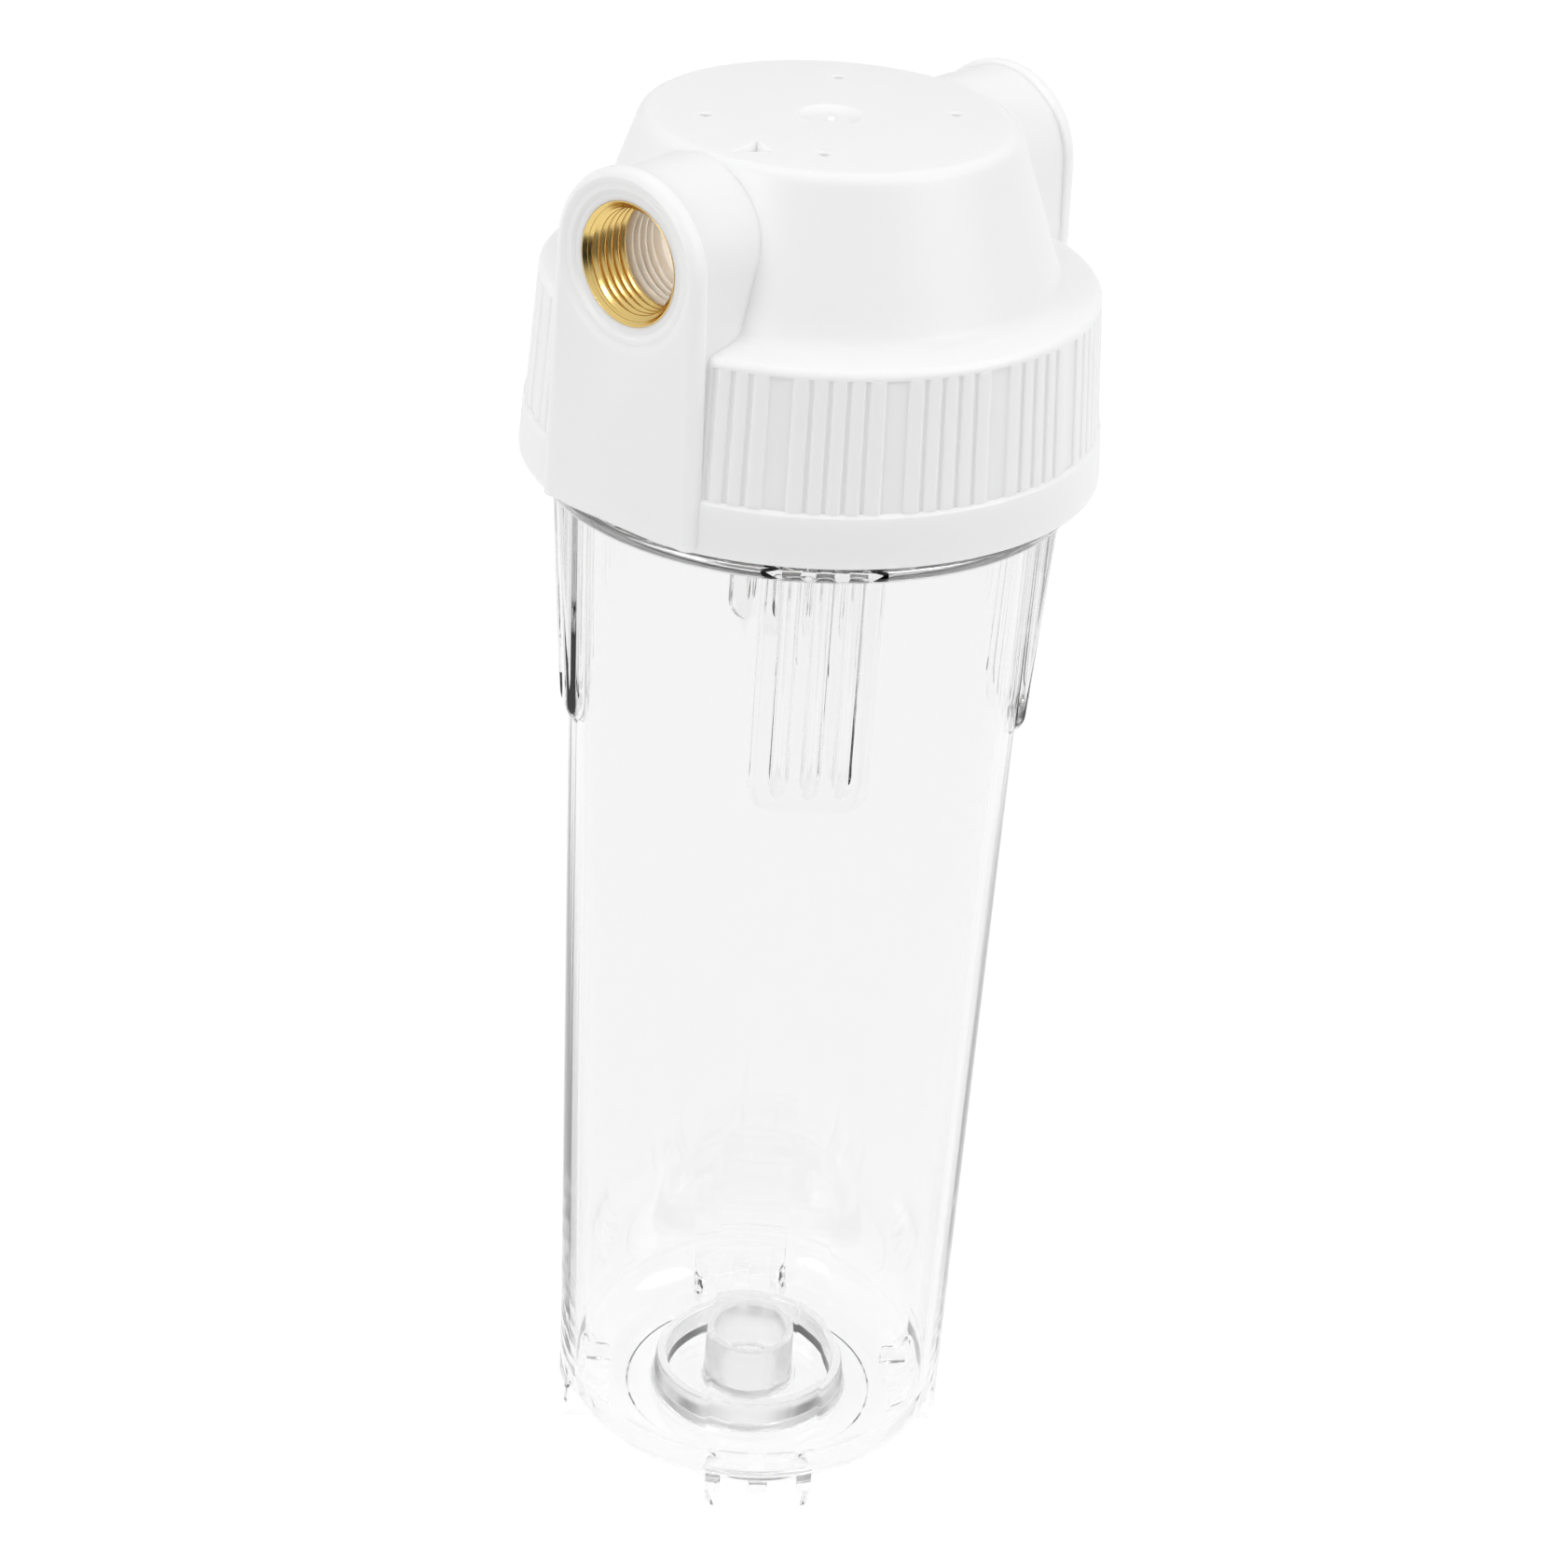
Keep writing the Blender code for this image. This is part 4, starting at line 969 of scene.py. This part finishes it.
portSet = {
    "recess": 1.2 * mm,           # brass behind the face of the port
    "mouth": (16.9 * mm, 15.4 * mm, 0.6 * mm),
    "step": (14.35 * mm, 13.5 * mm),
    "insertRadius": 12.0 * mm,
    "insertLength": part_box("inlet_brass_insert")[1].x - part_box("inlet_brass_insert")[0].x,
    "insertGap": 0.05 * mm,
    "waist": 0.4 * mm,
    "boreRadius": 10.2 * mm,
    "threadMajor": 11.15 * mm,
    "threadMinor": 10.15 * mm,
    "threadPitch": 1.814 * mm,
    "plasticThread": 8.6 * mm,    # the same thread runs on into the plastic
    "plasticTurns": 4.4,
    "sleeve": (12.9 * mm, 34.5 * mm),      # wall round the inlet's bore: radius, and where it ends along X
    "inletEnd": 28 * mm,                   # the inlet's bore ends at this X, in the chamber
    "rimWidth": 0.2 * mm,
    "chamfer": 0.7 * mm,
}


def portMouth(length, values):
    # everything that a port's opening takes away, down its axis from the face of the port
    outer, inner, first = values["mouth"]
    wide, narrow = values["step"]
    depth = values["recess"]
    seat = values["insertRadius"] + values["insertGap"]
    far = -depth - values["insertLength"] - values["insertGap"]
    waist = values["insertLength"] / 3
    major = values["threadMajor"]
    return [
        (0, 2 * mm, 0),
        (outer + 0.8 * mm, 2 * mm, 0),
        (outer + 0.8 * mm, 0.5 * mm, 0),
        (outer, 0, 0.5 * mm),
        (inner, -first, 0.3 * mm),
        (wide, -first, 0.25 * mm),
        (narrow, -depth, 0.25 * mm),
        (seat, -depth, 0.05 * mm),
        (seat, -depth - waist, 0),
        (seat - values["waist"], -depth - waist - values["waist"], 0),
        (seat - values["waist"], -depth - 2 * waist, 0),
        (seat, -depth - 2 * waist - values["waist"], 0),
        (seat, far, 0),
        (major, far, 0),
        (major, far - values["plasticThread"], 0),
        (values["boreRadius"], far - values["plasticThread"] - 1.2 * mm, 0),
        (values["boreRadius"], -length, 0),
        (0, -length, 0),
    ]


def pipeRidge(name, start, turns, values, place):
    # rounded crests of a fine pipe thread, standing in from the major radius
    half = values["threadPitch"] * 0.49
    major, minor = values["threadMajor"] + 0.05 * mm, values["threadMinor"]
    section = [(major, -half), (major - 0.2 * mm, -half * 0.86)]
    for step in range(7):
        angle = radians(-60 + 20 * step)
        section.append((minor + 0.28 * mm * (1 - cos(angle)) * 1.4, 0.32 * mm * sin(angle)))
    section += [(major - 0.2 * mm, half * 0.86), (major, half)]
    return helixRidge(name, section, values["threadPitch"], turns, start, 96, place)


def whitePlastic():
    # polypropylene, injection moulded: milky white that light sinks into, low sheen, a faint eroded-tool grain
    material, tree = newMaterial("white_pp_moulded")
    place = addNode(tree, "TexCoord")
    here = {"Vector": place.outputs["Object"]}
    grain = addNode(tree, "TexNoise", {"Scale": 2600.0, "Detail": 2.0}, here)
    waves = addNode(tree, "TexNoise", {"Scale": 55.0, "Detail": 1.0}, here)
    fine = addNode(tree, "Bump", {"Strength": 0.12, "Distance": 0.02 * mm}, {"Height": grain})
    bump = addNode(tree, "Bump", {"Strength": 0.25, "Distance": 0.08 * mm},
                   {"Height": waves, "Normal": fine})
    rough = addNode(tree, "MapRange", {"To Min": 0.36, "To Max": 0.44}, {"Value": waves})
    # painted reflected light and shade: the bores behind the brass are painted a warmer, slightly darker white
    # for the brass's yellow light that bounces onto them
    split = addNode(tree, "SeparateXYZ", None, {0: place.outputs["Object"]})
    rise = addNode(tree, "Math", {"operation": "SUBTRACT", 1: shared["portAxis"]},
                   {0: split.outputs["Z"]})
    flat = addNode(tree, "CombineXYZ", None, {"Y": split.outputs["Y"], "Z": rise})
    reach = addNode(tree, "VectorMath", {"operation": "LENGTH"}, {0: flat})
    deep = addNode(tree, "MapRange", {"From Min": 12.6 * mm, "From Max": 12.0 * mm},
                   {"Value": reach.outputs["Value"]})
    paint = addNode(tree, "Mix", {
        "data_type": "RGBA", 6: (*hexLinear("#F0F0F0"), 1), 7: (*hexLinear("#ECE5DB"), 1),
    }, {0: deep})
    shell = addNode(tree, "BsdfPrincipled", {
        "IOR": 1.49,
        "Subsurface Weight": 1.0, "Subsurface Radius": (1, 1, 1), "Subsurface Scale": 1.5 * mm,
    }, {"Base Color": paint.outputs[2], "Roughness": rough, "Normal": bump})
    addNode(tree, "OutputMaterial", None, {"Surface": shell})
    return material


def cutTop(head, values):
    # the dish with its gate mark, the dent, and the bracket's bosses with their pilot holes
    top = shared["top"]
    dish, depth = values["dish"]
    nib, nibHeight = values["nib"]
    combine(head, turned("dish", [
        (0, top + 2 * mm, 0),
        (dish + 1.2 * mm, top + 2 * mm, 0),
        (dish, top, 0.8 * mm),
        (dish - 2 * depth, top - depth, 0.8 * mm),
        (nib, top - depth, 0.2 * mm),
        (nib * 0.9, top - depth + nibHeight, 0.2 * mm),
        (0, top - depth + nibHeight, 0),
    ], 96), "DIFFERENCE")
    combine(head, topPit(values), "DIFFERENCE")
    x, y = values["bracket"]
    boss, high, low = values["bracketBoss"]
    pilot, mouth, deep = values["pilot"], values["pilotMouth"], top - values["pilotDepth"]
    for place in ((-x, -y), (-x, y), (x, -y), (x, y)):
        combine(head, upright("boss", boss, top - low, top - high, 32, place), "UNION")
        combine(head, turned("pilot", [
            (0, top + mouth, 0),
            (pilot + mouth, top + mouth, 0),
            (pilot + mouth, top + 0.01 * mm, 0),
            (pilot + mouth * 0.6, top, 0),
            (pilot, top - mouth, 0.6 * mm),
            (pilot, deep, 0),
            (0, deep, 0),
        ], 32, place=Matrix.Translation((*place, 0))), "DIFFERENCE")


def cutWaterways(head, values):
    # the duct and well to the outlet, the wall round the inlet's bore, and both ports with their threads
    axis, top, face = shared["portAxis"], shared["top"], shared["face"]
    duct, length = values["duct"]
    combine(head, turned("duct", [
        (0, length, 0), (duct, length, 0), (duct, 0, 0), (0, 0, 0),
    ], 96, place=portPlace(1, 0, axis)), "UNION")
    well, depth = values["well"]
    combine(head, upright("well", well, top - depth, axis + well, 96), "DIFFERENCE")
    sleeve, inner = portSet["sleeve"]
    pitch, turns = portSet["threadPitch"], portSet["plasticTurns"]
    threadEnd = -portSet["recess"] - portSet["insertLength"] - portSet["insertGap"]
    for side in (-1, 1):
        place = portPlace(side, face, axis)
        if side < 0:
            combine(head, turned("sleeve", [
                (0, inner - face, 0), (sleeve, inner - face, 0.5 * mm), (sleeve, -12 * mm, 0), (0, -12 * mm, 0),
            ], 96, place=place), "UNION")
        reach = face if side > 0 else face - portSet["inletEnd"]
        combine(head, turned("port_mouth", portMouth(reach, portSet), 128, 12, place=place), "DIFFERENCE")
        start = threadEnd - pitch * (turns + 0.5)
        combine(head, pipeRidge("port_thread", start, turns, portSet, place), "UNION")


def makeHead(values):
    head = makeHeadOutside(values)
    for side in (-1, 1):
        combine(head, plateFlat(side, values), "DIFFERENCE")
        for block in portBlocks(side, values):
            combine(head, block, "UNION")
    combine(head, turned("head_hollow", headInside(values), 192, 12), "DIFFERENCE")
    cutTop(head, values)
    cutWaterways(head, values)
    root = shared["neckRadius"] + threadSet["height"] + threadSet["clearance"]
    start = shared["flangeTop"] + threadSet["lead"] + threadSet["root"] / 2 + shared["threadPitch"] / 2
    section = threadSection(root, root - threadSet["height"] + 0.2 * mm, threadSet, -1)
    pitch, turns = shared["threadPitch"], shared["threadTurns"]
    combine(head, helixRidge("socket_thread", section, pitch, turns, start, 120), "UNION")
    finishPiece(head, whitePlastic(), "head", ["head_cap"])


makeHead(headSet)


# brass inserts

def brassMetal():
    # brass bar, turned and threaded: bright yellow metal with fine tool rings
    material, tree = newMaterial("brass_turned")
    place = addNode(tree, "TexCoord")
    rings = addNode(tree, "TexNoise", {"Scale": 900.0, "Detail": 2.0},
                    {"Vector": place.outputs["Object"]})
    rough = addNode(tree, "MapRange", {"To Min": 0.12, "To Max": 0.28}, {"Value": rings})
    bump = addNode(tree, "Bump", {"Strength": 0.1, "Distance": 0.02 * mm}, {"Height": rings})
    metal = addNode(tree, "BsdfPrincipled", {
        "Base Color": (*hexLinear("#E9CB82"), 1), "Metallic": 1.0,
    }, {"Roughness": rough, "Normal": bump})
    addNode(tree, "OutputMaterial", None, {"Surface": metal})
    return material


def makeInsert(side, name, node, values, material):
    place = portPlace(side, shared["face"] - values["recess"], shared["portAxis"])
    radius, length = values["insertRadius"], values["insertLength"]
    waist, third = values["waist"], values["insertLength"] / 3
    major = values["threadMajor"]
    mouth = radius - values["rimWidth"]
    insert = turned(name, [
        (radius, 0, 0.1 * mm),
        (radius, -third, 0),
        (radius - waist, -third - waist, 0),
        (radius - waist, -2 * third, 0),
        (radius, -2 * third - waist, 0),
        (radius, -length, 0),
        (major, -length, 0),
        (major, -values["chamfer"], 0),
        (mouth, 0, 0.05 * mm),
    ], 160, 15, closed=True, place=place)
    turns = length / values["threadPitch"] + 1.4
    ridge = pipeRidge("insert_thread", -length - values["threadPitch"] * 0.7, turns, values, place)
    # the chamfer's cone goes on through the first turn of the thread
    cone = (mouth - values["threadMinor"] + 0.3 * mm) / (mouth - major) * values["chamfer"]
    trim = turned("insert_trim", [
        (values["threadMinor"] - 0.3 * mm, -cone - 0.03 * mm, 0),
        (major + 0.4 * mm, -values["chamfer"] * 0.66, 0),
        (major + 0.4 * mm, -length + 0.03 * mm, 0),
        (values["threadMinor"] - 0.3 * mm, -length + 0.03 * mm, 0),
    ], 160, closed=True, place=place)
    combine(ridge, trim, "INTERSECT")
    combine(insert, ridge, "UNION")
    finishPiece(insert, material, "head", [node], 40)


brass = brassMetal()
makeInsert(-1, "inlet_insert", "inlet_brass_insert", portSet, brass)
makeInsert(1, "outlet_insert", "outlet_brass_insert", portSet, brass)
